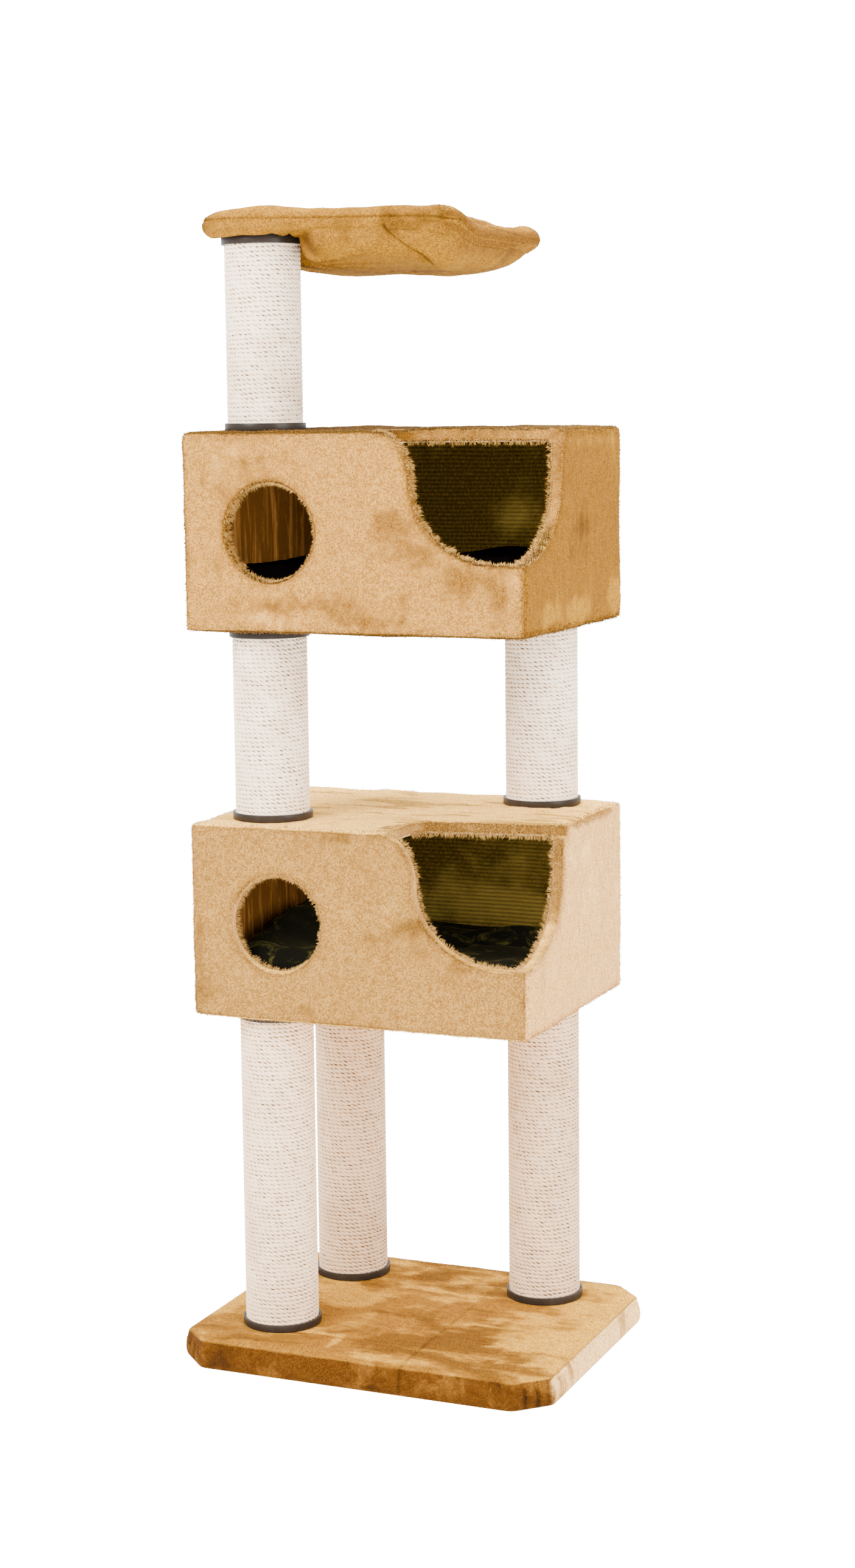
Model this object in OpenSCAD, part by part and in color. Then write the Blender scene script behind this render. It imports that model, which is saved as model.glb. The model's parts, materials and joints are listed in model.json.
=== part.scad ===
// Cat tree: a plush base, six sisal posts, two plush houses one above the other
// and a hammock that turns on the top post.
// The origin is the centre of the base's underside. +Z is up and the doorways face -Y.

/* [Base] */
// Width of the base over its plush
base_w = 620; // [600:1:700]
// Depth of the base over its plush
base_d = 500; // [490:1:560]
// Height of the base over its plush
base_h = 48; // [44:1:60]
// Length cut off each edge at the base's corners
base_corner = 50; // [30:1:60]
// Bevel along the top edges of the base board
base_bevel = 14; // [8:1:16]

/* [Houses] */
// Width of a house over its plush
house_w = 550; // [530:1:600]
// Depth of a house over its plush
house_d = 430; // [410:1:470]
// Height of a house over its plush
house_h = 300; // [290:1:340]
// Thickness of the house panels
panel_t = 15; // [12:1:18]
// Thickness of the plush, pile pressed flat
plush_t = 5; // [3:0.5:6]
// Radius of the round doorway inside its plush
door_r = 73; // [60:1:80]
// Distance of the round doorway from the house's left side
door_x = 144; // [120:1:160]
// Height of the round doorway above the house's underside
door_z = 151; // [140:1:160]
// Height of the corner opening's sill above the house's underside
sill_z = 107; // [90:1:120]
// Thickness of the loose cushion on the house floor
cushion_h = 72; // [40:1:74]

/* [Posts] */
// Radius of a post over its rope
rope_r = 57.5; // [54:0.5:60]
// Thickness of the wound rope
rope_t = 6.3; // [5:0.1:8]
// Wall of the cardboard tube inside a post
tube_wall = 4; // [3:0.5:6]
// Outer radius of the end caps
cap_r = 61.5; // [60:0.5:66]
// Height of an end cap's rim
cap_h = 11; // [9:0.5:15]
// Length of the three posts under the lower house
leg_len = 505; // [300:1:700]
// Length of the two posts between the houses
column_len = 291; // [200:1:500]
// Length of the post above the upper house
top_len = 286; // [200:1:500]

/* [Hammock] */
// Outer side of the square hammock rim over its plush
hammock_w = 416; // [400:1:440]
// Distance of the top post's axis from the hammock's left and front edges
hammock_offset = 80; // [78:1:84]
// Outer radius of the steel frame tube
frame_r = 10; // [8:0.5:11]
// Depth of the bowl below the top of the rim
bowl_depth = 75; // [60:1:120]
// Angle by which the hammock droops to the rear of the post that carries it
lean_rear = 3.2; // [0:0.1:4]
// Angle by which it droops to the right of that post
lean_right = 1.1; // [0:0.1:2]

/* [Fasteners] */
// Radius of the post bolts
bolt_r = 4; // [3:0.5:5]
// Radius of the panel screws
screw_r = 2; // [1.5:0.25:2.5]

/* [Hidden] */
$fn = 64;

// Play left between round faces that fit inside each other.
play = 0.2;

// Posts: name, x, y, height of the lower end, length.
left_x = -178;
front_y = -120;
rear_y = 150;
right_x = 163;
lower_z = base_h + leg_len;
upper_z = lower_z + house_h + column_len;
top_z = upper_z + house_h + top_len;
LEGS = [
    ["front_leg", left_x, front_y, base_h, leg_len],
    ["rear_left_leg", left_x, rear_y, base_h, leg_len],
    ["rear_right_leg", right_x, rear_y, base_h, leg_len],
];
COLUMNS = [
    ["front_column", left_x, front_y, lower_z + house_h, column_len],
    ["rear_column", right_x, rear_y, lower_z + house_h, column_len],
];
TOP_POSTS = [["top_post", left_x, front_y, upper_z + house_h, top_len]];
POSTS = concat(LEGS, COLUMNS, TOP_POSTS);

// Houses: name, height of the underside, posts below, posts above.
HOUSES = [
    ["lower_house", lower_z, LEGS, COLUMNS],
    ["upper_house", upper_z, COLUMNS, TOP_POSTS],
];

POST_PARTS = ["_tube", "_rope", "_lower_cap", "_upper_cap"];
HOUSE_PARTS = ["_floor", "_roof", "_front", "_back", "_left_side", "_right_side", "_plush",
               "_back_lining", "_side_lining", "_cushion", "_screws"];

// Colours
plush_colour = [0.80, 0.58, 0.33];
wood_colour = [0.72, 0.56, 0.38];
rope_colour = [0.90, 0.85, 0.78];
cap_colour = [0.16, 0.12, 0.10];
lining_colour = [0.26, 0.22, 0.08];
cushion_colour = [0.05, 0.06, 0.05];
steel_colour = [0.62, 0.62, 0.64];

// Wooden carcass of a house inside its plush, and the room inside that.
wood_w = house_w - 2 * plush_t;
wood_d = house_d - 2 * plush_t;
wood_h = house_h - 2 * plush_t;
room_w = wood_w - 2 * panel_t;
room_d = wood_d - 2 * panel_t;
room_h = wood_h - 2 * panel_t;
room_z = plush_t + panel_t;

// The plush turns into each opening as a collar; the panel behind it is cut wider.
collar_t = plush_t - 1;
panel_gap = collar_t + play;

// Posts, from the outside in.
tube_r = rope_r - rope_t;
cap_t = 3;
rim_r = rope_r + 0.5;
spigot_r = tube_r - tube_wall - play;
spigot_wall = 3;
spigot_len = 22;
boss_r = 11;
insert_r = 5.5;
insert_len = 15;

// Bolts pass a washer, a panel and the plush into the insert of a cap.
// The hammock's bolt passes only its washer and the plate.
bolt_len = 36;
hammock_bolt_len = 20;
bolt_head_r = 8.5;
bolt_head_h = 3;
washer_r = 12;
washer_h = 2;
bolt_hole_r = bolt_r + 1;
pocket_r = washer_r + 2;
base_wood_h = base_h - 2 * plush_t;
pocket_depth = base_wood_h - panel_t;

// Screws that hold the panels together.
screw_len = 38;
screw_head_r = 4;
screw_head_h = 2.4;

// Staples that hold the base plush underneath.
staple_w = 10;
staple_leg = 8;
staple_t = 0.8;
staple_inset = 22;
base_margin = 45;

// Hammock: the plate lies on the top post and carries the tube frame.
turn_gap = 0.3;
plate_t = 4;
plate_w = 120;
plate_corner = 26;
bend_r = 50;
rim_w = 40;
rim_h = 31;
cloth_t = 7;
bearing_play = 0.1;
plate_z = top_z + turn_gap;
lean_rise = plate_w / 2 * (sin(lean_rear) - sin(lean_right));
tube_z = plate_z + plate_t + frame_r + lean_rise + 0.1;
rim_z = plate_z + 1;
rim_top = rim_z + rim_h;
hammock_x = left_x - hammock_offset + hammock_w / 2;
hammock_y = front_y - hammock_offset + hammock_w / 2;
frame_side = hammock_w - rim_w;
well_r = cap_r + 2;
web_z = plate_z + plate_t + washer_h + bolt_head_h + 2.5;

// ---- Outlines ----

// Points of an elliptic arc from angle a0 to a1.
function arc(cx, cy, rx, ry, a0, a1, n = 10) =
    [for (i = [0:n]) let (a = a0 + (a1 - a0) * i / n) [cx + rx * cos(a), cy + ry * sin(a)]];

// The corner opening seen from the front: x and height above the house's underside.
// It falls from a round shoulder into a hollow curve and ends at the sill.
// g moves the outline out into the panel.
shoulder_x = 41;
waist_x = 97;
waist_z = 220;
hollow_x = 230;
function front_scoop(g) = concat(
    [[shoulder_x, house_h + 10]],
    arc(shoulder_x, waist_z, waist_x - shoulder_x - g, house_h - waist_z - g, 90, 0),
    arc(hollow_x, waist_z, hollow_x - waist_x + g, waist_z - sill_z + g, 180, 270),
    [[house_w, sill_z - g], [house_w, house_h + 10]]
);

// The corner opening seen from the right: y and height above the house's underside.
side_waist_y = -55;
side_waist_z = 230;
side_top_y = -40;
function side_scoop(g) = concat(
    [[-house_d, house_h + 10], [-house_d, sill_z - g]],
    arc(-house_d / 2, side_waist_z, side_waist_y + house_d / 2 + g, side_waist_z - sill_z + g, 270, 360),
    arc(side_top_y, side_waist_z, side_top_y - side_waist_y - g, house_h - side_waist_z - g, 180, 90, 6),
    [[side_top_y, house_h + 10]]
);

// The notch in the roof seen from above: a slanted corner with a round inner bend.
notch_x = 50;
notch_y = -80;
notch_r = 30;
function roof_notch(g) = let (
    a = [shoulder_x - g, -house_d / 2 - 1],
    b = [notch_x - g, notch_y + g],
    c = [house_w / 2 + 1, side_top_y + g]
) concat([[house_w, -house_d], [shoulder_x - g, -house_d], a], bend(a, b, c, notch_r), [c, [house_w, c[1]]]);

// Points of a round bend of radius r at corner b, on the way from a to c, turning right.
function bend(a, b, c, r, n = 8) = let (
    in_angle = atan2(b[1] - a[1], b[0] - a[0]),
    out_angle = atan2(c[1] - b[1], c[0] - b[0]),
    run = r * tan((in_angle - out_angle) / 2),
    start = b - run * [cos(in_angle), sin(in_angle)],
    centre = start + r * [sin(in_angle), -cos(in_angle)]
) arc(centre[0], centre[1], r, r, in_angle + 90, out_angle + 90, n);

module rounded_rect(w, d, r) {
    square([w - 2 * r, d], center = true);
    square([w, d - 2 * r], center = true);
    for (x = [-1, 1], y = [-1, 1])
        translate([x * (w / 2 - r), y * (d / 2 - r)]) circle(r);
}

module cut_corner_rect(w, d, c) {
    polygon([
        [c - w / 2, -d / 2], [w / 2 - c, -d / 2], [w / 2, c - d / 2], [w / 2, d / 2 - c],
        [w / 2 - c, d / 2], [c - w / 2, d / 2], [-w / 2, d / 2 - c], [-w / 2, c - d / 2],
    ]);
}

// ---- Base ----

// A bar of the given width whose two top edges are bevelled.
module bevelled_bar(w, h, b) {
    rotate([90, 0, 0])
        linear_extrude(2 * base_w, center = true)
            polygon([[-w / 2, 0], [w / 2, 0], [w / 2, h - b], [w / 2 - b, h], [b - w / 2, h], [-w / 2, h - b]]);
}

// A slab with cut corners, bevelled along every top edge.
module bevelled_slab(w, d, h, corner, b) {
    diagonal = (w + d - 2 * corner) / sqrt(2);
    intersection() {
        linear_extrude(h) cut_corner_rect(w, d, corner);
        bevelled_bar(w, h, b);
        rotate(90) bevelled_bar(d, h, b);
        rotate(45) bevelled_bar(diagonal, h, b);
        rotate(-45) bevelled_bar(diagonal, h, b);
    }
}

module base_solid(inset) {
    translate([0, 0, inset])
        bevelled_slab(base_w - 2 * inset, base_d - 2 * inset, base_h - 2 * inset,
                      base_corner - inset * (2 - sqrt(2)), base_bevel);
}

// Where the staples sit under the base, each with the angle of its crown.
staple_spots = concat(
    [for (x = [-200:100:200], s = [-1, 1]) [x, s * (base_d / 2 - staple_inset), 0]],
    [for (y = [-150:100:150], s = [-1, 1]) [s * (base_w / 2 - staple_inset), y, 90]]
);

// A staple hugging the plush, its legs in the board. g widens it for its own hole.
module staple(g) {
    translate([-staple_w / 2 - g, -staple_t / 2 - g, 1])
        cube([staple_w + 2 * g, staple_t + 2 * g, staple_t + g]);
    for (s = [-1, 1])
        translate([s * (staple_w - staple_t) / 2 - staple_t / 2 - g, -staple_t / 2 - g, 1])
            cube([staple_t + 2 * g, staple_t + 2 * g, plush_t + staple_leg + g]);
}

module place_staples() {
    for (s = staple_spots)
        translate([s[0], s[1], 0]) rotate(s[2]) children();
}

module base_board() color(wood_colour) {
    difference() {
        base_solid(plush_t);
        for (p = LEGS) translate([p[1], p[2], 0]) {
            cylinder(h = base_h, r = bolt_hole_r);
            cylinder(h = plush_t + pocket_depth, r = pocket_r);
        }
        place_staples() staple(play);
    }
}

module base_plush() color(plush_colour) {
    difference() {
        base_solid(0);
        base_solid(plush_t);
        translate([0, 0, -1])
            linear_extrude(plush_t + 2)
                cut_corner_rect(base_w - 2 * base_margin, base_d - 2 * base_margin, base_corner);
        for (p = LEGS) translate([p[1], p[2], 0]) cylinder(h = base_h + 1, r = bolt_hole_r);
        place_staples() {
            staple(play);
            translate([-staple_w / 2 - play, -staple_t / 2 - play, -1])
                cube([staple_w + 2 * play, staple_t + 2 * play, 3]);
        }
    }
}

module base_staples() color(steel_colour) {
    place_staples() staple(0);
}

// ---- Posts ----

module at_post(p) {
    translate([p[1], p[2], p[3]]) children();
}

module ring(h, outer, inner) {
    difference() {
        cylinder(h = h, r = outer);
        translate([0, 0, -1]) cylinder(h = h + 2, r = inner);
    }
}

module post_tube(p) color([0.62, 0.48, 0.33]) {
    at_post(p) translate([0, 0, cap_t]) ring(p[4] - 2 * cap_t, tube_r, tube_r - tube_wall);
}

module post_rope(p) color(rope_colour) {
    at_post(p) translate([0, 0, cap_t]) ring(p[4] - 2 * cap_t, rope_r, tube_r + play);
}

// An end cap standing on z = 0: a disc, the rim round the rope's end,
// the spigot in the tube and the boss for the threaded insert.
module end_cap() color(cap_colour) {
    difference() {
        union() {
            cylinder(h = cap_t, r = cap_r);
            ring(cap_h, cap_r, rim_r);
            ring(spigot_len, spigot_r, spigot_r - spigot_wall);
            cylinder(h = spigot_len, r = boss_r);
            for (a = [0:60:300])
                rotate(a) translate([boss_r - 1, -1, 0]) cube([spigot_r - spigot_wall - boss_r + 2, 2, 14]);
        }
        translate([0, 0, -1]) cylinder(h = insert_len + 1, r = insert_r + play);
        translate([0, 0, -1]) cylinder(h = spigot_len + 2, r = bolt_r + play);
    }
}

module at_lower_end(p) {
    at_post(p) children();
}

module at_upper_end(p) {
    at_post(p) translate([0, 0, p[4]]) mirror([0, 0, 1]) children();
}

module post_lower_cap(p) {
    at_lower_end(p) end_cap();
}

module post_upper_cap(p) {
    at_upper_end(p) end_cap();
}

// ---- Fasteners ----

// A pan-head bolt whose head rests on z = 0 and whose shank points up.
module bolt(length) color(steel_colour) {
    difference() {
        translate([0, 0, -bolt_head_h]) cylinder(h = bolt_head_h, r = bolt_head_r);
        translate([0, 0, -bolt_head_h - 1]) cylinder(h = 3, r = 2.9, $fn = 6);
    }
    cylinder(h = length, r = bolt_r);
}

module washer() color(steel_colour) {
    ring(washer_h, washer_r, bolt_r + play);
}

module insert() color([0.78, 0.62, 0.30]) {
    ring(insert_len, insert_r, bolt_r + play / 2);
}

// Puts children on the inner face of the panel that each post is bolted to, pointing at the post.
// Feet of the legs are reached from under the base, all other ends from inside a house.
module at_bolts() {
    for (p = LEGS) translate([p[1], p[2], plush_t + pocket_depth]) children();
    for (h = HOUSES) {
        for (p = h[2]) translate([p[1], p[2], h[1] + room_z]) mirror([0, 0, 1]) children();
        for (p = h[3]) translate([p[1], p[2], h[1] + room_z + room_h]) children();
    }
}

module post_bolts() {
    at_bolts() translate([0, 0, -washer_h]) bolt(bolt_len);
}

module post_washers() {
    at_bolts() translate([0, 0, -washer_h]) washer();
}

module post_inserts() {
    for (p = POSTS) {
        at_lower_end(p) insert();
        at_upper_end(p) insert();
    }
}

// ---- Houses ----

// The round doorway and the corner opening, cut through everything in their way.
// g widens them, so that the panels leave room for the plush collar.
module doorway(g) {
    translate([door_x - house_w / 2, 0, door_z])
        rotate([90, 0, 0]) cylinder(h = house_d, r = door_r + g);
}

module front_opening(g) {
    rotate([90, 0, 0])
        translate([0, 0, room_d / 2]) linear_extrude(house_d) polygon(front_scoop(g));
}

module side_opening(g) {
    translate([room_w / 2, 0, 0])
        rotate([90, 0, 90]) linear_extrude(house_w) polygon(side_scoop(g));
}

module roof_opening(g) {
    intersection() {
        translate([0, 0, room_z + room_h]) linear_extrude(house_h) polygon(roof_notch(g));
        centred_box(house_w + 20, room_d + 2 * g, 2 * house_h, 0);
    }
}

module centred_box(w, d, h, z) {
    translate([-w / 2, -d / 2, z]) cube([w, d, h]);
}

// Screw positions on the panels. The roof and floor are screwed to the walls,
// the front and back to the sides.
wall_x = (wood_w - panel_t) / 2;
wall_y = (wood_d - panel_t) / 2;
roof_screw_spots = [
    [-220, wall_y], [0, wall_y], [220, wall_y], [-220, -wall_y], [0, -wall_y],
    [-wall_x, -100], [-wall_x, 100], [wall_x, 0], [wall_x, 130],
];
floor_screw_spots = concat(roof_screw_spots, [[220, -wall_y], [wall_x, -100]]);
corner_screw_spots = [[-wall_x, 1], [wall_x, 1], [-wall_x, -1]];
corner_screw_heights = [60, 240];

// A countersunk screw, its head flush with z = 0 and its point up. g widens it for its hole.
module screw(g) {
    cylinder(h = screw_head_h, r1 = screw_head_r + g, r2 = screw_r + g);
    cylinder(h = screw_len + g, r = screw_r + g);
}

module place_screws() {
    for (s = floor_screw_spots)
        translate([s[0], s[1], plush_t]) children();
    for (s = roof_screw_spots)
        translate([s[0], s[1], plush_t + wood_h]) mirror([0, 0, 1]) children();
    for (s = corner_screw_spots, z = corner_screw_heights)
        translate([s[0], s[1] * wood_d / 2, z]) rotate([s[1] * 90, 0, 0]) children();
    translate([wall_x, -wood_d / 2, corner_screw_heights[0]]) rotate([-90, 0, 0]) children();
}

module place_post_holes(h) {
    for (p = h[2]) translate([p[1], p[2], -1]) cylinder(h = room_z + 2, r = bolt_hole_r);
    for (p = h[3]) translate([p[1], p[2], room_z + room_h - 1]) cylinder(h = room_z + 2, r = bolt_hole_r);
}

// A panel, with every hole that the screws, bolts and openings need.
module panel(h) {
    color(wood_colour) translate([0, 0, h[1]]) difference() {
        children();
        place_screws() screw(play);
        place_post_holes(h);
    }
}

module house_floor(h) {
    panel(h) centred_box(wood_w, wood_d, panel_t, plush_t);
}

module house_roof(h) {
    panel(h) difference() {
        centred_box(wood_w, wood_d, panel_t, room_z + room_h);
        roof_opening(panel_gap);
        front_opening(panel_gap);
    }
}

module house_front(h) {
    panel(h) difference() {
        translate([-wood_w / 2, -wood_d / 2, room_z]) cube([wood_w, panel_t, room_h]);
        front_opening(panel_gap);
        doorway(panel_gap);
    }
}

module house_back(h) {
    panel(h) translate([-wood_w / 2, room_d / 2, room_z]) cube([wood_w, panel_t, room_h]);
}

module house_left_side(h) {
    panel(h) translate([-wood_w / 2, -room_d / 2, room_z]) cube([panel_t, room_d, room_h]);
}

module house_right_side(h) {
    panel(h) difference() {
        translate([room_w / 2, -room_d / 2, room_z]) cube([panel_t, room_d, room_h]);
        side_opening(panel_gap);
    }
}

module all_openings(g) {
    front_opening(g);
    side_opening(g);
    roof_opening(g);
    doorway(g);
}

// The plush: a skin over the whole carcass, turned into every opening.
module house_plush(h) color(plush_colour) {
    translate([0, 0, h[1]]) difference() {
        centred_box(house_w, house_d, house_h, 0);
        difference() {
            centred_box(wood_w, wood_d, wood_h, plush_t);
            all_openings(collar_t);
        }
        centred_box(room_w, room_d, room_h, room_z);
        all_openings(0);
        place_post_holes(h);
    }
}

lining_t = 2;
lining_gap = 3;

module house_back_lining(h) color(lining_colour) {
    translate([-room_w / 2 + lining_gap, room_d / 2 - lining_t, h[1] + room_z + lining_gap])
        cube([room_w - 2 * lining_gap, lining_t, room_h - 2 * lining_gap]);
}

module house_side_lining(h) color(plush_colour) {
    translate([-room_w / 2, -room_d / 2 + lining_gap, h[1] + room_z + lining_gap])
        cube([lining_t, room_d - lining_t - 2 * lining_gap, room_h - 2 * lining_gap]);
}

cushion_gap = 6;
cushion_r = 40;

module house_cushion(h) color(cushion_colour) {
    translate([0, 0, h[1] + room_z + bolt_head_h + washer_h + 0.5])
        linear_extrude(cushion_h)
            rounded_rect(room_w - 2 * cushion_gap, room_d - 2 * cushion_gap, cushion_r);
}

module house_screws(h) color(steel_colour) {
    translate([0, 0, h[1]]) place_screws() screw(0);
}

// ---- Hammock ----

module at_top() {
    translate([left_x, front_y, 0]) children();
}

module hammock_bolt() {
    at_top() translate([0, 0, plate_z + plate_t + play + washer_h]) mirror([0, 0, 1]) bolt(hammock_bolt_len);
}

module hammock_washer() {
    at_top() translate([0, 0, plate_z + plate_t + play]) washer();
}

module hammock_plate() color(cap_colour) {
    at_top() translate([0, 0, plate_z]) difference() {
        linear_extrude(plate_t) rounded_rect(plate_w, plate_w, plate_corner);
        translate([0, 0, -1]) cylinder(h = plate_t + 2, r = bolt_r + bearing_play);
    }
}

// The square loop of tube: four straight runs and four bends. r is the tube's radius.
module tube_loop(r) {
    straight = frame_side - 2 * bend_r;
    for (a = [0:90:270]) rotate(a) {
        translate([-straight / 2, -frame_side / 2, 0]) rotate([0, 90, 0]) cylinder(h = straight, r = r);
        translate([straight / 2, -straight / 2, 0])
            rotate(-90) rotate_extrude(angle = 90) translate([bend_r, 0]) circle(r);
    }
}

// Puts children at the hammock's centre and height z, then lets them droop away from the top post.
module at_hammock(z) {
    translate([left_x, front_y, tube_z])
        rotate([-lean_rear, lean_right, 0])
            translate([hammock_x - left_x, hammock_y - front_y, z - tube_z]) children();
}

module hammock_frame() color(cap_colour) {
    at_hammock(tube_z) difference() {
        tube_loop(frame_r);
        tube_loop(frame_r - 1.5);
    }
}

// The bowl's outer or inner form, from the rim down. t is the cloth left outside it.
module bowl_form(t) {
    sides = [[frame_side - 2 * t, rim_top - rim_h / 2], [frame_side - 40 - 2 * t, rim_top - 60 + t],
             [frame_side - 140 - 2 * t, rim_top - bowl_depth + t]];
    hull() for (s = sides)
        translate([0, 0, s[1]]) linear_extrude(0.5) rounded_rect(s[0], s[0], bend_r, $fn = 32);
}

// Plush sling: a roll round the frame tube, the bowl hung in it and a web over the plate.
module hammock_sling() color(plush_colour) {
    difference() {
        union() {
            at_hammock(rim_z) linear_extrude(rim_h) rounded_rect(hammock_w, hammock_w, bend_r + rim_w / 2);
            at_hammock(0) bowl_form(0);
        }
        difference() {
            union() {
                at_hammock(rim_z + rim_h / 2)
                    linear_extrude(rim_h)
                        rounded_rect(frame_side - rim_w, frame_side - rim_w, bend_r - rim_w / 4);
                at_hammock(0) bowl_form(cloth_t);
            }
            at_top() cylinder(h = web_z + cloth_t, r = well_r + cloth_t);
        }
        at_top() cylinder(h = web_z, r = well_r);
        at_top() linear_extrude(plate_z + plate_t + play)
            rounded_rect(plate_w + 2 * play, plate_w + 2 * play, plate_corner + play);
        at_hammock(tube_z) tube_loop(frame_r + play);
    }
}

// ---- Assembly ----

base_board();
base_plush();
base_staples();
for (p = POSTS) {
    post_tube(p);
    post_rope(p);
    post_lower_cap(p);
    post_upper_cap(p);
}
for (h = HOUSES) {
    house_floor(h);
    house_roof(h);
    house_front(h);
    house_back(h);
    house_left_side(h);
    house_right_side(h);
    house_plush(h);
    house_back_lining(h);
    house_side_lining(h);
    house_cushion(h);
    house_screws(h);
}
post_bolts();
post_washers();
post_inserts();
hammock_bolt();
hammock_washer();
hammock_plate();
hammock_frame();
hammock_sling();
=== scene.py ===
import json
import math

import bmesh
import bpy
import numpy as np
from mathutils import Matrix, Vector, noise
from mathutils.kdtree import KDTree


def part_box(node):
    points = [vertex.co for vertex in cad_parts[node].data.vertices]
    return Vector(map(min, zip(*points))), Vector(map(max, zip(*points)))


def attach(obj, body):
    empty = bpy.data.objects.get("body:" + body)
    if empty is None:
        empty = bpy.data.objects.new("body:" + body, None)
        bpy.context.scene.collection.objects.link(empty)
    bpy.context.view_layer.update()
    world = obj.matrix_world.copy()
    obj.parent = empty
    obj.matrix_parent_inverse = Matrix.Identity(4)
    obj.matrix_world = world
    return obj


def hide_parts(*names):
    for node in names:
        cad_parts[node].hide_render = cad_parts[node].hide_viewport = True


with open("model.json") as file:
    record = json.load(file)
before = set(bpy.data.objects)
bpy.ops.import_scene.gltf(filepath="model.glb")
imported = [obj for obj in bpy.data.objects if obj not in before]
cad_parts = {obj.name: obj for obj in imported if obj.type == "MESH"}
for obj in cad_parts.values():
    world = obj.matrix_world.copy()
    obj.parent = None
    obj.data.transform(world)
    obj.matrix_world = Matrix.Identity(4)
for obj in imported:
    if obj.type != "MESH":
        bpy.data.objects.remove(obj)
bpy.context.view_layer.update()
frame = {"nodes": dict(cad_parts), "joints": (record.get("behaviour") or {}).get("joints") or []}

NODES = frame["nodes"]
HOUSES = ("lower_house", "upper_house")
POSTS = ("front_leg", "rear_left_leg", "rear_right_leg", "front_column", "rear_column", "top_post")
PANELS = ("floor", "roof", "front", "back", "left_side", "right_side")
random = np.random.default_rng(11)
MM = 0.001

# ---- Camera, stage and light ----

CAMERA_PLACE = (1.66193, -3.83506, 1.48695)
CAMERA_LENS = 62.38
CAMERA_PITCH = math.radians(8.05)
CAMERA_YAW = math.radians(23.05)
CAMERA_ROLL = math.radians(-0.65)


def make_camera():
    camera = bpy.data.objects.new("camera", bpy.data.cameras.new("camera"))
    camera.data.lens = CAMERA_LENS
    camera.data.sensor_width = 36
    camera.data.clip_end = 60
    turn = Matrix.Rotation(CAMERA_YAW, 4, "Z") @ Matrix.Rotation(math.pi / 2 - CAMERA_PITCH, 4, "X")
    camera.matrix_world = Matrix.Translation(CAMERA_PLACE) @ turn @ Matrix.Rotation(CAMERA_ROLL, 4, "Z")
    bpy.context.scene.collection.objects.link(camera)
    bpy.context.scene.camera = camera


def make_area_light(name, place, target, size, power, colour):
    light = bpy.data.objects.new(name, bpy.data.lights.new(name, "AREA"))
    light.data.shape = "DISK"
    light.data.size = size
    light.data.energy = power
    light.data.color = colour
    light.location = place
    light.rotation_euler = (Vector(target) - Vector(place)).to_track_quat("-Z", "Y").to_euler()
    bpy.context.scene.collection.objects.link(light)


WHITE_LIGHT = 2.6  # strength of the surroundings as a light
WHITE_SEEN = 20.0  # strength of the surroundings as the camera sees them
FLOOR_GLOW = 16.0  # light added to the floor as the camera sees it


def split_rays(tree, lit, seen, output):
    """Shows the camera the shader seen, while light meets the shader lit."""
    path = tree.nodes.new("ShaderNodeLightPath")
    choose = tree.nodes.new("ShaderNodeMixShader")
    tree.links.new(path.outputs["Is Camera Ray"], choose.inputs[0])
    tree.links.new(lit.outputs[0], choose.inputs[1])
    tree.links.new(seen.outputs[0], choose.inputs[2])
    tree.links.new(choose.outputs[0], tree.nodes[output].inputs["Surface"])


def make_world():
    world = bpy.data.worlds.new("studio")
    world.use_nodes = True
    tree = world.node_tree
    lit = tree.nodes["Background"]
    lit.inputs["Color"].default_value = (1, 1, 1, 1)
    lit.inputs["Strength"].default_value = WHITE_LIGHT
    seen = tree.nodes.new("ShaderNodeBackground")
    seen.inputs["Color"].default_value = (1, 1, 1, 1)
    seen.inputs["Strength"].default_value = WHITE_SEEN
    split_rays(tree, lit, seen, "World Output")
    bpy.context.scene.world = world


def make_floor():
    bpy.ops.mesh.primitive_plane_add(size=40)
    floor = bpy.context.object
    floor.name = "studio_floor"
    material = bpy.data.materials.new("pale_floor")
    material.use_nodes = True
    shader = material.node_tree.nodes["Principled BSDF"]
    shader.inputs["Base Color"].default_value = (0.92, 0.92, 0.91, 1)
    shader.inputs["Roughness"].default_value = 0.9
    tree = material.node_tree
    glow = tree.nodes.new("ShaderNodeEmission")
    glow.inputs["Strength"].default_value = FLOOR_GLOW
    both = tree.nodes.new("ShaderNodeAddShader")
    tree.links.new(shader.outputs[0], both.inputs[0])
    tree.links.new(glow.outputs[0], both.inputs[1])
    split_rays(tree, shader, both, "Material Output")
    floor.data.materials.append(material)


make_camera()
make_world()
make_floor()
make_area_light("key", (-1.6, -3.6, 3.4), (0, 0, 0.9), 2.4, 430, (1.0, 0.97, 0.93))
make_area_light("fill", (3.4, -1.2, 1.9), (0, 0, 0.9), 2.2, 170, (1.0, 0.98, 0.96))
make_area_light("top", (0.2, 0.6, 4.2), (0, 0, 0.9), 2.0, 300, (1.0, 1.0, 1.0))

# ---- Materials ----


def linear(red, green, blue):
    """A display colour, 0 to 255, as the linear colour that shaders take."""
    values = np.array([red, green, blue]) / 255
    curve = np.where(values <= 0.04045, values / 12.92, ((values + 0.055) / 1.055) ** 2.4)
    return (*curve.tolist(), 1)


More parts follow.
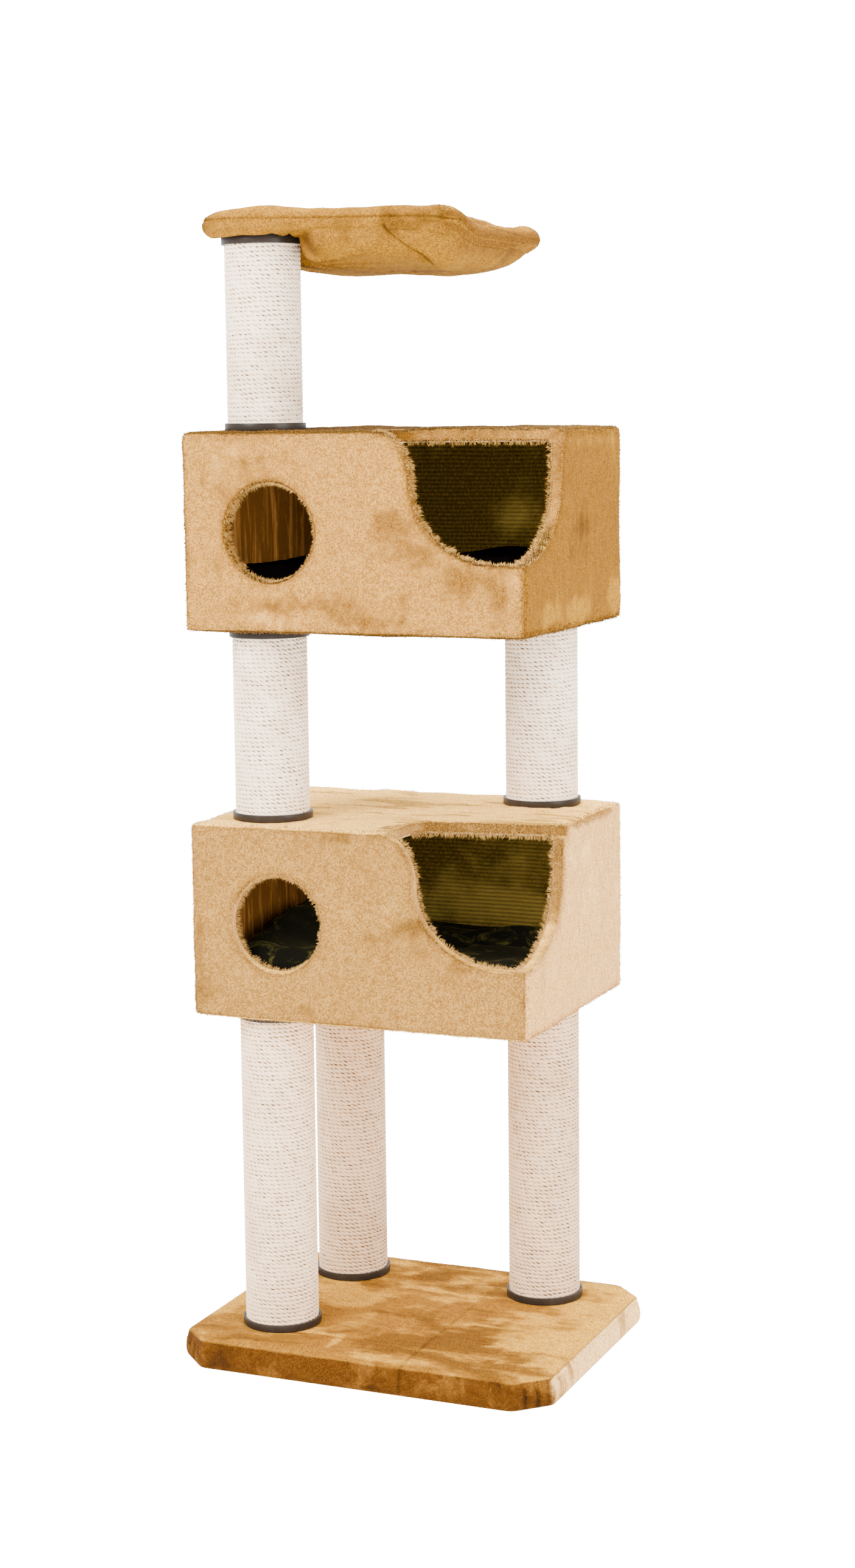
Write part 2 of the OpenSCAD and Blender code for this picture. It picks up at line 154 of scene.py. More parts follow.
class Paint:
    """A node material, put together with short calls. A value is a number or a socket, and a colour is
    a display colour, 0 to 255 and above that for brighter than white, or a socket."""

    def __init__(self, name, roughness=0.6, shine=0.5, sheen=0.0, sheen_tint=(255, 255, 255)):
        self.material = bpy.data.materials.new(name)
        self.material.use_nodes = True
        self.tree = self.material.node_tree
        self.shader = self.tree.nodes["Principled BSDF"]
        self.shader.inputs["Roughness"].default_value = roughness
        self.shader.inputs["Sheen Weight"].default_value = sheen
        self.shader.inputs["Sheen Tint"].default_value = linear(*sheen_tint)
        self.shader.inputs["Sheen Roughness"].default_value = 0.5
        self.shader.inputs["Specular IOR Level"].default_value = shine
        self.place = self.add("ShaderNodeTexCoord").outputs["Object"]

    def plug(self, socket, value):
        if isinstance(value, bpy.types.NodeSocket):
            self.tree.links.new(value, socket)
        else:
            socket.default_value = value

    def add(self, kind, inputs=(), **settings):
        node = self.tree.nodes.new(kind)
        for key, value in settings.items():
            setattr(node, key, value)
        for key, value in dict(inputs).items():
            self.plug(node.inputs[key], value)
        return node

    def stretched(self, scale, turn=(0, 0, 0)):
        """The place, turned and then scaled by a different number along each axis."""
        inputs = {"Vector": self.place, "Scale": scale, "Rotation": turn}
        return self.add("ShaderNodeMapping", inputs, vector_type="POINT").outputs[0]

    def noise(self, scale, detail=2.0, roughness=0.5, distortion=0.0, at=None):
        inputs = {"Vector": at or self.place, "Scale": scale, "Detail": detail,
                  "Roughness": roughness, "Distortion": distortion}
        return self.add("ShaderNodeTexNoise", inputs).outputs["Fac"]

    def flakes(self, scale, at):
        return self.add("ShaderNodeTexVoronoi", {"Vector": at, "Scale": scale}).outputs["Distance"]

    def steps(self, value, low, high, most=1.0):
        """0 below low, most above high, and smooth between."""
        inputs = {"Value": value, "From Min": low, "From Max": high, "To Max": most}
        return self.add("ShaderNodeMapRange", inputs, interpolation_type="SMOOTHSTEP").outputs["Result"]

    def total(self, *parts, start=0.0):
        """The start, plus each value times its weight."""
        for value, weight in parts:
            inputs = {0: value, 1: weight, 2: start}
            start = self.add("ShaderNodeMath", inputs, operation="MULTIPLY_ADD").outputs[0]
        return start

    def mix(self, share, a, b, blend="MIX"):
        node = self.add("ShaderNodeMix", data_type="RGBA", blend_type=blend)
        self.plug(node.inputs[0], share)
        for index, colour in ((6, a), (7, b)):
            self.plug(node.inputs[index], linear(*colour) if isinstance(colour, tuple) else colour)
        return node.outputs[2]

    def attribute(self, name):
        return self.add("ShaderNodeAttribute", attribute_name=name).outputs["Fac"]

    def facing(self):
        """How much a face looks along x, y and z, whichever way round."""
        normal = self.add("ShaderNodeTexCoord").outputs["Normal"]
        whole = self.add("ShaderNodeVectorMath", {0: normal}, operation="ABSOLUTE").outputs[0]
        return self.add("ShaderNodeSeparateXYZ", {0: whole}).outputs

    def bump(self, height, distance, strength, below=None):
        inputs = {"Height": height, "Distance": distance, "Strength": strength}
        if below is not None:
            inputs["Normal"] = below
        return self.add("ShaderNodeBump", inputs).outputs[0]

    def finish(self, colour, normal=None, roughness=None):
        self.plug(self.shader.inputs["Base Color"], colour)
        if normal is not None:
            self.plug(self.shader.inputs["Normal"], normal)
        if roughness is not None:
            self.plug(self.shader.inputs["Roughness"], roughness)
        return self.material


# Painted shade in creases, pleats, fold valleys and along the lapped edge of the sling; seams take it as a
# darker line.
CREASE_SHADE_TINT = (92, 74, 46)
SHADE_TINT = (190, 179, 156)  # between the tufts


def plush_material(name, front, side, top, turned, lifted, patches, draw=0.2, bend=(0.55, 0.8)):
    """Short-pile plush. front, side and top are its colours by facing, which hold the lie of the nap on
    each face and also painted light and shade for how the light falls on it. turned is the tint of painted
    shade where the nap is brushed away from the light, lifted the tint of painted sheen where it is brushed
    towards it. patches is the noise at which such a patch starts and is full. draw is how much the nap is
    combed downwards on the sides and along the width on top, from 1 for not at all. bend is how far a face
    must turn upwards for its colour to start to change to that of the top, and to be it; a wide bend paints
    a band of light round a rounded top edge."""
    paint = Paint(name, roughness=0.95, shine=0.08, sheen=0.03, sheen_tint=(240, 170, 90))
    facing = paint.facing()
    side_share = paint.attribute("sideways")
    top_share = paint.steps(facing[2], *bend)

    def by_facing(on_front, on_side, on_top):
        return paint.mix(top_share, paint.mix(side_share, on_front, on_side), on_top)

    def combed(scale, detail):
        return by_facing(paint.noise(scale, detail, 0.7, 0.7),
                         paint.noise(scale * 1.6, detail, 0.65, 0.2, paint.stretched((1, 1, draw))),
                         paint.noise(scale * 1.3, detail, 0.65, 0.4, paint.stretched((1.5 * draw, 1, 1))))

    def tinted(share, colour, tint):
        return paint.mix(share, colour, paint.mix(1.0, colour, tint, "MULTIPLY"))

    # Painted light and shade, with the lie of the nap: one colour for faces that look forwards, one sideways
    # and one up.
    ground = by_facing(front, side, top)
    curls = paint.noise(430.0, 2.0, 0.6, 0.8)
    tufts = combed(100.0, 4.0)
    grain = paint.total((curls, 0.75), (tufts, 0.25))
    change = paint.total((combed(30.0, 5.0), 0.7), (grain, 0.5), (paint.attribute("nap"), 0.26), start=-0.6)
    # Nap patches, painted darker as painted shade and paler as painted sheen.
    brushed = paint.total((paint.noise(6.5, 3.0, 0.55, 0.6), 1.0), (change, 1.0))
    ground = tinted(paint.steps(brushed, *patches), ground, turned)
    raised = paint.total((paint.noise(9.0, 4.0, 0.6, 0.4), 1.0), (change, -1.0))
    ground = tinted(paint.steps(raised, *patches), ground, lifted)
    ground = tinted(paint.total((paint.attribute("rim"), 0.6)), ground, turned)
    # Painted shade in creases and folds, and seams as darker lines.
    ground = tinted(paint.attribute("seam_and_crease_shade"), ground, CREASE_SHADE_TINT)
    shade = paint.total((paint.steps(grain, 0.42, 0.58), -1.0), start=1.0)
    ground = tinted(shade, ground, SHADE_TINT)
    normal = paint.bump(combed(45.0, 3.0), 3.0 * MM, 0.6)
    normal = paint.bump(grain, 4.0 * MM, 1.0, normal)
    return paint.finish(ground, normal)


def fringe_material(name, root, tip, dark):
    """Loose pile round an opening: golden at the root, partly the plush's own colour and partly painted
    shade among the tufts, and pale at the tip, some tufts darker.
    """
    paint = Paint(name, roughness=0.9, shine=0.1, sheen=0.05, sheen_tint=(240, 200, 130))
    colour = paint.mix(paint.steps(paint.attribute("tip"), 0.0, 0.9), root, tip)
    clump = paint.noise(130.0, 3.0)
    colour = paint.mix(paint.steps(clump, 0.47, 0.62, 0.6), colour, dark)
    fibre = paint.noise(900.0, 2.0, 0.6)
    return paint.finish(colour, paint.bump(fibre, 0.3 * MM, 0.6))


def rope_material(name, light, dull, pit_shade):
    """Sisal rope: pale fibres and dull patches, with painted shade on the strands' flanks and dark painted
    shade in the pits between the turns.
    """
    paint = Paint(name, roughness=0.9, shine=0.2)
    wear = paint.noise(9.0, 4.0, 0.6)
    colour = paint.mix(paint.steps(wear, 0.45, 0.7, 0.45), light, dull)
    fibres = paint.noise(520.0, 3.0, 0.65, 0.3, paint.stretched((1, 1, 0.45), (0.6, 0, 0)))
    colour = paint.mix(paint.steps(fibres, 0.5, 0.72, 0.3), colour, dull)
    groove = paint.attribute("groove")
    # Painted shade: the grooves between strands go dull, and the pits between the turns dark.
    colour = paint.mix(paint.steps(groove, 0.05, 0.35, 0.85), colour, dull)
    colour = paint.mix(paint.steps(groove, 0.26, 0.66), colour, pit_shade)
    return paint.finish(colour, paint.bump(fibres, 0.5 * MM, 0.7))


def plastic_material(name, colour, wear_and_lit_patch):
    """Moulded plastic, dark, with a soft gloss, fine texture and rubbed patches."""
    paint = Paint(name, roughness=0.4, shine=0.14)
    cloud = paint.noise(18.0, 4.0, 0.6)
    mixed = paint.mix(paint.steps(cloud, 0.45, 0.7, 0.5), colour, wear_and_lit_patch)
    grain = paint.noise(700.0, 2.0)
    rough = paint.total((paint.noise(60.0, 3.0), 0.2), start=0.26)
    return paint.finish(mixed, paint.bump(grain, 0.12 * MM, 0.35), rough)


def lining_material(name, dark, light):
    """Ribbed lining cloth: long level ribs of pile with fine yarns across them, painted paler in a spot as a
    painted pool of light, and with painted shade in the valleys between the ribs.
    """
    paint = Paint(name, roughness=0.95, shine=0.1, sheen=0.05, sheen_tint=(190, 170, 100))
    # A painted pool of light: noise and the light spots on the lining make the cloth paler.
    wear_and_lit_patch = paint.total((paint.noise(8.0, 4.0, 0.6, 0.3), 1.0), (paint.attribute("nap"), 0.3))
    colour = paint.mix(paint.steps(wear_and_lit_patch, 0.48, 0.85), dark, light)
    yarn = paint.noise(300.0, 2.0, 0.6, 0.0, paint.stretched((1.0, 1.0, 0.5)))
    colour = paint.mix(paint.steps(yarn, 0.42, 0.66, 0.2), colour, light)
    # Painted shade in the valleys between the ribs.
    valley = paint.mix(1.0, colour, (200, 196, 186), "MULTIPLY")
    colour = paint.mix(paint.steps(paint.attribute("groove"), 0.2, 1.0), colour, valley)
    return paint.finish(colour, paint.bump(yarn, 0.4 * MM, 0.5))


def velvet_material(name, dark, light, sheen, shine):
    """Crushed velvet: nearly black, with greenish lights where the pile lies over."""
    paint = Paint(name, roughness=0.9, shine=shine, sheen=sheen, sheen_tint=(150, 140, 80))
    crush = paint.noise(26.0, 5.0, 0.65, 1.5, paint.stretched((0.6, 1.0, 1.6)))
    colour = paint.mix(paint.steps(crush, 0.52, 0.8), dark, light)
    pile = paint.noise(600.0, 2.0, 0.6)
    normal = paint.bump(crush, 1.5 * MM, 0.4)
    return paint.finish(colour, paint.bump(pile, 0.4 * MM, 0.6, normal))


def streaked_plush_material(name, dark, light):
    """The plush inside the left wall, its pile combed straight down."""
    paint = Paint(name, roughness=0.9, shine=0.1, sheen=0.1, sheen_tint=(230, 180, 110))
    combed = paint.noise(60.0, 5.0, 0.65, 0.6, paint.stretched((1.0, 1.0, 0.12)))
    colour = paint.mix(paint.steps(combed, 0.46, 0.7), dark, light)
    hairs = paint.noise(420.0, 3.0, 0.6, 0.2, paint.stretched((1.0, 1.0, 0.1)))
    normal = paint.bump(combed, 2.0 * MM, 0.6)
    return paint.finish(colour, paint.bump(hairs, 0.6 * MM, 0.6, normal))


def board_material(name, pale, dark):
    """Chipboard: small flakes of wood pressed together."""
    paint = Paint(name, roughness=0.75)
    flakes = paint.flakes(160.0, paint.stretched((1.0, 0.6, 1.4), (0.3, 0.2, 0.5)))
    colour = paint.mix(paint.steps(flakes, 0.15, 0.75), dark, pale)
    cloud = paint.noise(14.0, 4.0, 0.6)
    colour = paint.mix(paint.steps(cloud, 0.45, 0.7, 0.35), colour, dark)
    return paint.finish(colour, paint.bump(flakes, 0.3 * MM, 0.5))


def metal_material(name, colour, dull, roughness):
    """Plated or painted steel with fine brushing and dull patches."""
    paint = Paint(name, roughness=roughness)
    paint.shader.inputs["Metallic"].default_value = 0.9
    cloud = paint.noise(90.0, 4.0, 0.6)
    mixed = paint.mix(paint.steps(cloud, 0.4, 0.7), colour, dull)
    brushed = paint.noise(700.0, 2.0, 0.5, 0.0, paint.stretched((0.1, 1.0, 1.0)))
    return paint.finish(mixed, paint.bump(brushed, 0.1 * MM, 0.4))


def card_material(name, pale, dark):
    """The brown card of the tubes inside the posts, wound in a slanting seam."""
    paint = Paint(name, roughness=0.9)
    fibres = paint.noise(240.0, 4.0, 0.65, 0.0, paint.stretched((1.0, 1.0, 0.3), (0.5, 0.0, 0.0)))
    colour = paint.mix(paint.steps(fibres, 0.4, 0.65), pale, dark)
    return paint.finish(colour, paint.bump(fibres, 0.2 * MM, 0.5))


# The colours of each plush by facing hold painted light and shade for how the light falls on its front,
# sides and top, with the lie of its nap. TURNED_NAP_SHADE is painted shade on nap patches, and
# LIFTED_NAP_SHEEN and PALE_NAP_SHEEN, brighter than white, painted sheen on them.
TURNED_NAP_SHADE = (196, 190, 168)
LIFTED_NAP_SHEEN = (272, 280, 290)
PALE_NAP_SHEEN = (345, 370, 430)
HOUSE_PATCHES = (0.6, 0.82)
UPPER_PLUSH = plush_material("upper_plush", (193, 140, 64), (144, 98, 18), (90, 64, 12),
                             TURNED_NAP_SHADE, (310, 325, 360), HOUSE_PATCHES)
LOWER_PLUSH = plush_material("lower_plush", (177, 131, 63), (250, 193, 120), (298, 238, 128),
                             TURNED_NAP_SHADE, LIFTED_NAP_SHEEN, HOUSE_PATCHES)
BASE_PLUSH = plush_material("base_plush", (92, 54, 9), (206, 156, 88), (166, 116, 33),
                            TURNED_NAP_SHADE, PALE_NAP_SHEEN, (0.5, 0.66), 0.2, (0.4, 0.98))
SLING_PLUSH = plush_material("sling_plush", (162, 114, 32), (132, 88, 20), (168, 118, 23),
                             TURNED_NAP_SHADE, LIFTED_NAP_SHEEN, (0.56, 0.78), 1.0)
UPPER_FRINGE = fringe_material("upper_fringe", (150, 106, 44), (216, 168, 88), (120, 84, 32))
LOWER_FRINGE = fringe_material("lower_fringe", (160, 114, 50), (222, 176, 100), (130, 92, 38))
# The ropes of the front leg and of the rear legs are the same sisal painted darker: painted shade, for the
# less light on the lower posts and the least on the rear legs.
ROPE = rope_material("sisal", (255, 234, 208), (206, 174, 140), (76, 56, 40))
HALF_SHADED_ROPE = rope_material("half_shaded_sisal", (246, 216, 182), (196, 160, 124), (68, 50, 34))
SHADED_ROPE = rope_material("shaded_sisal", (220, 188, 152), (170, 136, 102), (60, 42, 28))
CAP = plastic_material("cap_plastic", (38, 31, 25), (56, 48, 40))
LINING = lining_material("ribbed_lining", (100, 81, 21), (178, 156, 72))
# The plush on the left wall inside is the golden plush painted brown: painted shade, for the shade inside
# the room.
SHADED_SIDE_LINING = streaked_plush_material("shaded_combed_plush", (92, 56, 12), (160, 108, 48))
# The upper cushion is the velvet painted near black, with no sheen or gloss: painted shade, for the dark
# inside the upper house.
SHADED_VELVET = velvet_material("shaded_velvet", (3, 2, 2), (6, 5, 3), 0.0, 0.0)
LOWER_VELVET = velvet_material("green_velvet", (8, 8, 3), (86, 80, 36), 0.05, 0.06)
BOARD = board_material("chipboard", (206, 172, 124), (168, 128, 82))
CARD = card_material("tube_card", (176, 138, 96), (140, 104, 68))
PAINTED = plastic_material("frame_paint", (20, 17, 15), (36, 31, 28))
ZINC = metal_material("zinc_steel", (196, 198, 200), (150, 152, 156), 0.35)
BRASS = metal_material("brass", (206, 172, 92), (170, 132, 60), 0.3)

# ---- Mesh tools ----


def box_of(node):
    low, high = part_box(node)
    return np.array(low), np.array(high)


def middle_of(node):
    """The middle of a node, seen from above."""
    low, high = box_of(node)
    return ((low + high) / 2)[:2]


def read_all(items, name, width, kind=np.float32):
    """One attribute of all the items of a mesh, as rows of the given width."""
    values = np.zeros(len(items) * width, kind)
    items.foreach_get(name, values)
    return values.reshape(-1, width)


def points_of(piece):
    return read_all(piece.data.vertices, "co", 3).astype(float)


def put_points(piece, points):
    piece.data.vertices.foreach_set("co", points.astype(np.float32).ravel())
    piece.data.update()


def normals_of(piece):
    return read_all(piece.data.vertex_normals, "vector", 3).astype(float)


def edges_of(piece):
    return read_all(piece.data.edges, "vertices", 2, np.int32)


def paint_value(piece, name, values):
    """Keeps one number per vertex on the mesh, which a material reads."""
    layer = piece.data.attributes.new(name, "FLOAT", "POINT")
    layer.data.foreach_set("value", np.asarray(values, np.float32))


def new_piece(name, points, faces, material, body="tower"):
    mesh = bpy.data.meshes.new(name)
    mesh.from_pydata([tuple(p) for p in np.asarray(points).tolist()], [], faces)
    return dressed(bpy.data.objects.new(name, mesh), material, body)


def dressed(piece, material, body="tower"):
    if piece.name not in bpy.context.scene.collection.objects:
        bpy.context.scene.collection.objects.link(piece)
    piece.data.materials.clear()
    piece.data.materials.append(material)
    piece.data.shade_smooth()
    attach(piece, body)
    return piece


def apply_modifiers(piece):
    graph = bpy.context.evaluated_depsgraph_get()
    mesh = bpy.data.meshes.new_from_object(piece.evaluated_get(graph))
    piece.modifiers.clear()
    piece.data = mesh


def node_copy(name, nodes):
    """One new object with the joined and welded meshes of the nodes."""
    welded = bmesh.new()
    for node in nodes:
        welded.from_mesh(NODES[node].data)
    bmesh.ops.remove_doubles(welded, verts=welded.verts, dist=0.01 * MM)
    mesh = bpy.data.meshes.new(name)
    welded.to_mesh(mesh)
    welded.free()
    piece = bpy.data.objects.new(name, mesh)
    bpy.context.scene.collection.objects.link(piece)
    return piece


def remeshed(piece, voxel):
    modifier = piece.modifiers.new("even_mesh", "REMESH")
    modifier.mode = "VOXEL"
    modifier.voxel_size = voxel
    apply_modifiers(piece)


def smoothed(points, edges, rounds, share=0.5):
    """Moves each point part of the way to the mean of its neighbours, several times."""
    count = len(points)
    degree = np.bincount(edges.ravel(), minlength=count)[:, None]
    for _ in range(rounds):
        total = np.zeros_like(points)
        for axis in range(3):
            total[:, axis] = (np.bincount(edges[:, 0], points[edges[:, 1], axis], count)
                              + np.bincount(edges[:, 1], points[edges[:, 0], axis], count))
        points = points + share * (total / np.maximum(degree, 1) - points)
    return points


def ripple(points, wavelength, seed, stretch=(1, 1, 1)):
    """Smooth noise from about -1 to 1 at each point."""
    scaled = points * (np.array(stretch) / wavelength) + seed * 17.3
    return np.array([noise.noise(p) for p in scaled.tolist()]) * 1.6


def ease(value, low, high):
    t = np.clip((value - low) / (high - low), 0, 1)
    return t * t * (3 - 2 * t)


def rounded(points, core, radius):
    """Each point moved to the given distance from its place in the core."""
    away = points - core
    length = np.linalg.norm(away, axis=-1, keepdims=True)
    return core + radius * away / np.maximum(length, 1e-9)


def nap_of(across, height, spots):
    """The sum of soft spots of brushed nap at each place."""
    total = np.zeros(len(across))
    for x, z, reach_x, reach_z, strength in spots:
        total += strength * np.exp(-((across / MM - x) / reach_x) ** 2 - ((height / MM - z) / reach_z) ** 2)
    return total


def grid_faces(rows, columns, wrap=False, flip=False):
    """Quads of a grid of points stored row by row."""
    across = columns if wrap else columns - 1
    row, column = np.meshgrid(np.arange(rows - 1), np.arange(across), indexing="ij")
    after = (column + 1) % columns
    this, above = row * columns, (row + 1) * columns
    corners = [this + column, this + after, above + after, above + column]
    if flip:
        corners.reverse()
    return np.stack(corners, -1).reshape(-1, 4).tolist()


# ---- Posts ----

ROPE_PITCH = 6.7 * MM  # from one turn of the rope to the next
STRAND_GAP = 9.0 * MM  # from one strand to the next along the rope
TURN_DEPTH = 2.3 * MM
STRAND_DEPTH = 1.1 * MM
DEEPEST = 3.2 * MM
STRAND_LOTS = 4096  # strands before their depths come round again
TUBE_GAP = 0.2 * MM
ROPE_COLUMNS = 220
ROPE_ROW = 1.12 * MM
ROPES = {"front_leg": HALF_SHADED_ROPE, "rear_left_leg": SHADED_ROPE, "rear_right_leg": SHADED_ROPE,
         "front_column": ROPE, "rear_column": ROPE, "top_post": ROPE}


def rope_relief(angle, height, bottom, outer):
    """How deep the rope's surface lies at each place, and how much of a groove it is there."""
    wander = sum(0.05 * np.sin(k * angle + s * height / (23 * MM) + s)
                 for k, s in ((1, 1.3), (3, 2.1), (7, 4.2)))
    turns = (height - bottom) / ROPE_PITCH - angle / (2 * np.pi) + wander
    turn = np.floor(turns)
    across = 2 * (turns - turn) - 1
    phase = outer * (angle + 2 * np.pi * turn) / STRAND_GAP + 0.5 * across
    strand = np.floor(phase)
    along = 2 * (phase - strand) - 1
    lots = random.uniform(0.55, 1.45, STRAND_LOTS)
    lot = lots[(turn.astype(int) * 131 + strand.astype(int) * 7) % STRAND_LOTS]
    valley = np.abs(across) ** 2.6
    twist = along ** 2
    depth = lot * (TURN_DEPTH * valley * (0.6 + 0.4 * twist) + STRAND_DEPTH * twist)
    groove = lot * (valley * (0.15 + 1.1 * twist ** 1.5) + 0.4 * twist ** 3 * (1 - valley))
    return np.minimum(depth, DEEPEST), groove


def wound_rope(post):
    """The rope wound round a post: every turn, and every strand of it, in relief. Its first and last
    rows lie against the tube, so that it is a closed sleeve."""
    low, high = box_of(f"{post}_rope")
    centre = (low + high) / 2
    outer = (high[0] - low[0]) / 2
    tube_low, tube_high = box_of(f"{post}_tube")
    inner = (tube_high[0] - tube_low[0]) / 2 + TUBE_GAP
    angle, height = np.meshgrid(np.linspace(0, 2 * np.pi, ROPE_COLUMNS, endpoint=False),
                                np.linspace(low[2], high[2], int((high[2] - low[2]) / ROPE_ROW)))
    depth, groove = rope_relief(angle, height, low[2], outer)
    ends = ((1, 1), (0, 0))
    radius = np.pad(outer - depth, ends, constant_values=inner)
    angle, height = np.pad(angle, ends, "edge"), np.pad(height, ends, "edge")
    points = np.stack([centre[0] + radius * np.cos(angle), centre[1] + radius * np.sin(angle), height], -1)
    faces = grid_faces(len(points), ROPE_COLUMNS, wrap=True)
    last = (len(points) - 1) * ROPE_COLUMNS
    for k in range(ROPE_COLUMNS):
        after = (k + 1) % ROPE_COLUMNS
        faces.append([k, last + k, last + after, after])
    piece = new_piece(f"{post}_winding", points.reshape(-1, 3), faces, ROPES[post])
    paint_value(piece, "groove", np.pad(groove, ends, constant_values=1.0).ravel())
    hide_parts(f"{post}_rope")


for post in POSTS:
    wound_rope(post)

# ---- Houses ----

HOUSE_VOXEL = 4.5 * MM
HOUSE_EDGE_R = 11.5 * MM
ROOM_GAP = 0.4 * MM
WALL = 20 * MM  # board and plush together, as the openings show them

# Where the nap lies the other way, painted darker as painted shade and paler as painted sheen, in
# millimetres: along the width or depth of the house and above its underside, then the reach each way,
# then how strongly. A negative strength makes it paler.
FRONT_NAP = {
    "upper_house": ((-85, 43, 120, 14, 1.0), (8, 22, 60, 12, 0.8), (60, 165, 34, 26, 0.9),
                    (124, 121, 34, 26, 1.0), (175, 88, 40, 18, 0.9), (239, 60, 26, 34, 1.0),
                    (226, 18, 30, 12, 0.7), (-267, 143, 12, 40, 0.7), (262, 70, 10, 30, -0.8)),
    "lower_house": ((-196, 262, 14, 30, 0.9), (-248, 240, 22, 24, 0.8), (-5, 288, 70, 14, 1.0),
                    (90, 161, 30, 14, 1.0), (50, 146, 34, 18, 0.8), (-123, 23, 70, 14, 0.8),
                    (8, 257, 40, 16, 0.6), (-262, 123, 12, 90, 0.8), (262, 60, 10, 40, 0.7)),
}
SIDE_NAP = {
    "upper_house": ((-111, 30, 50, 24, -1.9), (13, 26, 50, 22, -1.8), (165, 44, 34, 34, -1.9),
                    (0, 280, 200, 12, -0.8), (20, 170, 90, 60, 0.6)),
    "lower_house": ((50, 246, 50, 30, -0.9), (75, 153, 60, 50, -0.8), (70, 296, 140, 10, 1.6),
                    (-70, 215, 14, 80, 1.2), (-140, 90, 22, 60, 0.7)),
}
# Painted shade on the cut edges inside the openings, where the plush turns into the house.
CUT_EDGE_SHADE = 0.9  # how much darker the cut edges round the openings are
RIM_STEP = 3 * MM
RIM_REACH = 9 * MM
HOUSE_PILE = (16000, 3.6 * MM)  # how many loose hairs, and how long
EDGE_PILE = (9000, 5.5 * MM)


def rim_of(house):
    """The sharp edges of every opening in the house plush: points, outward and inward directions."""
    piece = node_copy(f"{house}_rim_finder", [f"{house}_plush"])
    low, high = box_of(f"{house}_plush")
    axes = [middle_of(f"{post}_rope") for post in POSTS]
    mesh = bmesh.new()
    mesh.from_mesh(piece.data)
    mesh.normal_update()

    def on_skin(face):
        centre = np.array(face.calc_center_median())
        return np.minimum(np.abs(centre - low), np.abs(centre - high)).min() < 0.1 * MM

    found = []
    for edge in mesh.edges:
        if len(edge.link_faces) != 2:
            continue
        skins = [f for f in edge.link_faces if on_skin(f)]
        walls = [f for f in edge.link_faces if not on_skin(f)]
        if len(skins) != 1:
            continue
        a, b = (np.array(v.co) for v in edge.verts)
        if min(np.linalg.norm((a + b)[:2] / 2 - axis) for axis in axes) < 15 * MM:
            continue
        found.append((a, b, np.array(skins[0].normal), np.array(walls[0].normal)))
    mesh.free()
    bpy.data.objects.remove(piece)
    return found


def rounded_to_box(points, low, high, radius):
    """Rounds the outside edges of a box: points on its skin move to the rounded one."""
    skin = np.minimum(np.abs(points - low), np.abs(points - high)).min(1) < 1 * MM
    moved = rounded(points, np.clip(points, low + radius, high - radius), radius)
    return np.where(skin[:, None], moved, points), skin


def near_rim(points, rim):
    """1 at the edge of an opening, falling towards 0 away from it."""
    places = []
    for a, b, _, _ in rim:
        steps = max(2, int(np.linalg.norm(b - a) / RIM_STEP))
        places += [a + (b - a) * t for t in np.linspace(0, 1, steps)]
    tree = KDTree(len(places))
    for index, place in enumerate(places):
        tree.insert(place, index)
    tree.balance()
    distance = np.array([tree.find(p)[2] for p in points.tolist()])
    return np.exp(-(distance / RIM_REACH) ** 2)


def room_of(house):
    """The lowest and highest corner of the space between a house's panels."""
    low = [box_of(f"{house}_{panel}")[1][axis] for axis, panel in enumerate(("left_side", "front", "floor"))]
    high = [box_of(f"{house}_{panel}")[0][axis] for axis, panel in enumerate(("right_side", "back", "roof"))]
    return np.array(low), np.array(high)


def out_of_room(points, house):
    """Moves the points inside a house's room, whose walls stay bare, to the nearest wall."""
    low, high = room_of(house)
    low, high = low - ROOM_GAP, high + ROOM_GAP
    inside = ((points > low) & (points < high)).all(1)
    nearest = np.argmin(np.concatenate([points - low, high - points], 1), 1)
    for side in range(6):
        chosen = inside & (nearest == side)
        axis = side % 3
        points[chosen, axis] = (low if side < 3 else high)[axis]


def house_cover(house, rim, material, seed):
    """The plush over a house, drawn round its edges and into its openings."""
    nodes = [f"{house}_plush"] + [f"{house}_{panel}" for panel in PANELS]
    piece = node_copy(f"{house}_cover", nodes)
    remeshed(piece, HOUSE_VOXEL)
    low, high = box_of(f"{house}_plush")
    points, skin = rounded_to_box(points_of(piece), low, high, HOUSE_EDGE_R)
    edges = edges_of(piece)
    rolled = near_rim(points, rim)
    points = smoothed(points, edges, 5)
    put_points(piece, points)
    normals = normals_of(piece)
    sideways = ease(np.abs(normals[:, 0]), 0.5, 0.9)
    swell = 0.9 * MM * ripple(points, 70 * MM, seed)
    swell += 0.5 * MM * ripple(points, 18 * MM, seed + 1, (1, 1, 1.6))
    swell += rolled * (0.6 * MM + 1.6 * MM * ripple(points, 14 * MM, seed + 2))
    on_top = ease(normals[:, 2], 0.6, 0.9) * (points[:, 2] > high[2] - 15 * MM)
    ridges = ripple(points, 17 * MM, seed + 4, (0.16, 1, 1)) * (0.4 + ease(points[:, 1], low[1], high[1]))
    swell += on_top * 1.6 * MM * np.maximum(ridges, -0.6)
    points = points + normals * (swell * skin)[:, None]
    out_of_room(points, house)
    put_points(piece, points)
    dressed(piece, material)
    paint_value(piece, "rim", rolled)
    paint_value(piece, "sideways", sideways)
    height = points[:, 2] - low[2]
    front = ease(-normals[:, 1], 0.5, 0.8)
    side = ease(normals[:, 0], 0.5, 0.8)
    nap = front * nap_of(points[:, 0], height, FRONT_NAP[house])
    nap += side * nap_of(points[:, 1], height, SIDE_NAP[house])
    # Painted shade in the valleys between the ridges on the roof, and on the cut edges inside the openings.
    nap += 1.2 * on_top * ease(-ridges, 0.15, 0.7) + CUT_EDGE_SHADE * ~skin
    paint_value(piece, "nap", nap)
    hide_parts(f"{house}_plush")
    return piece


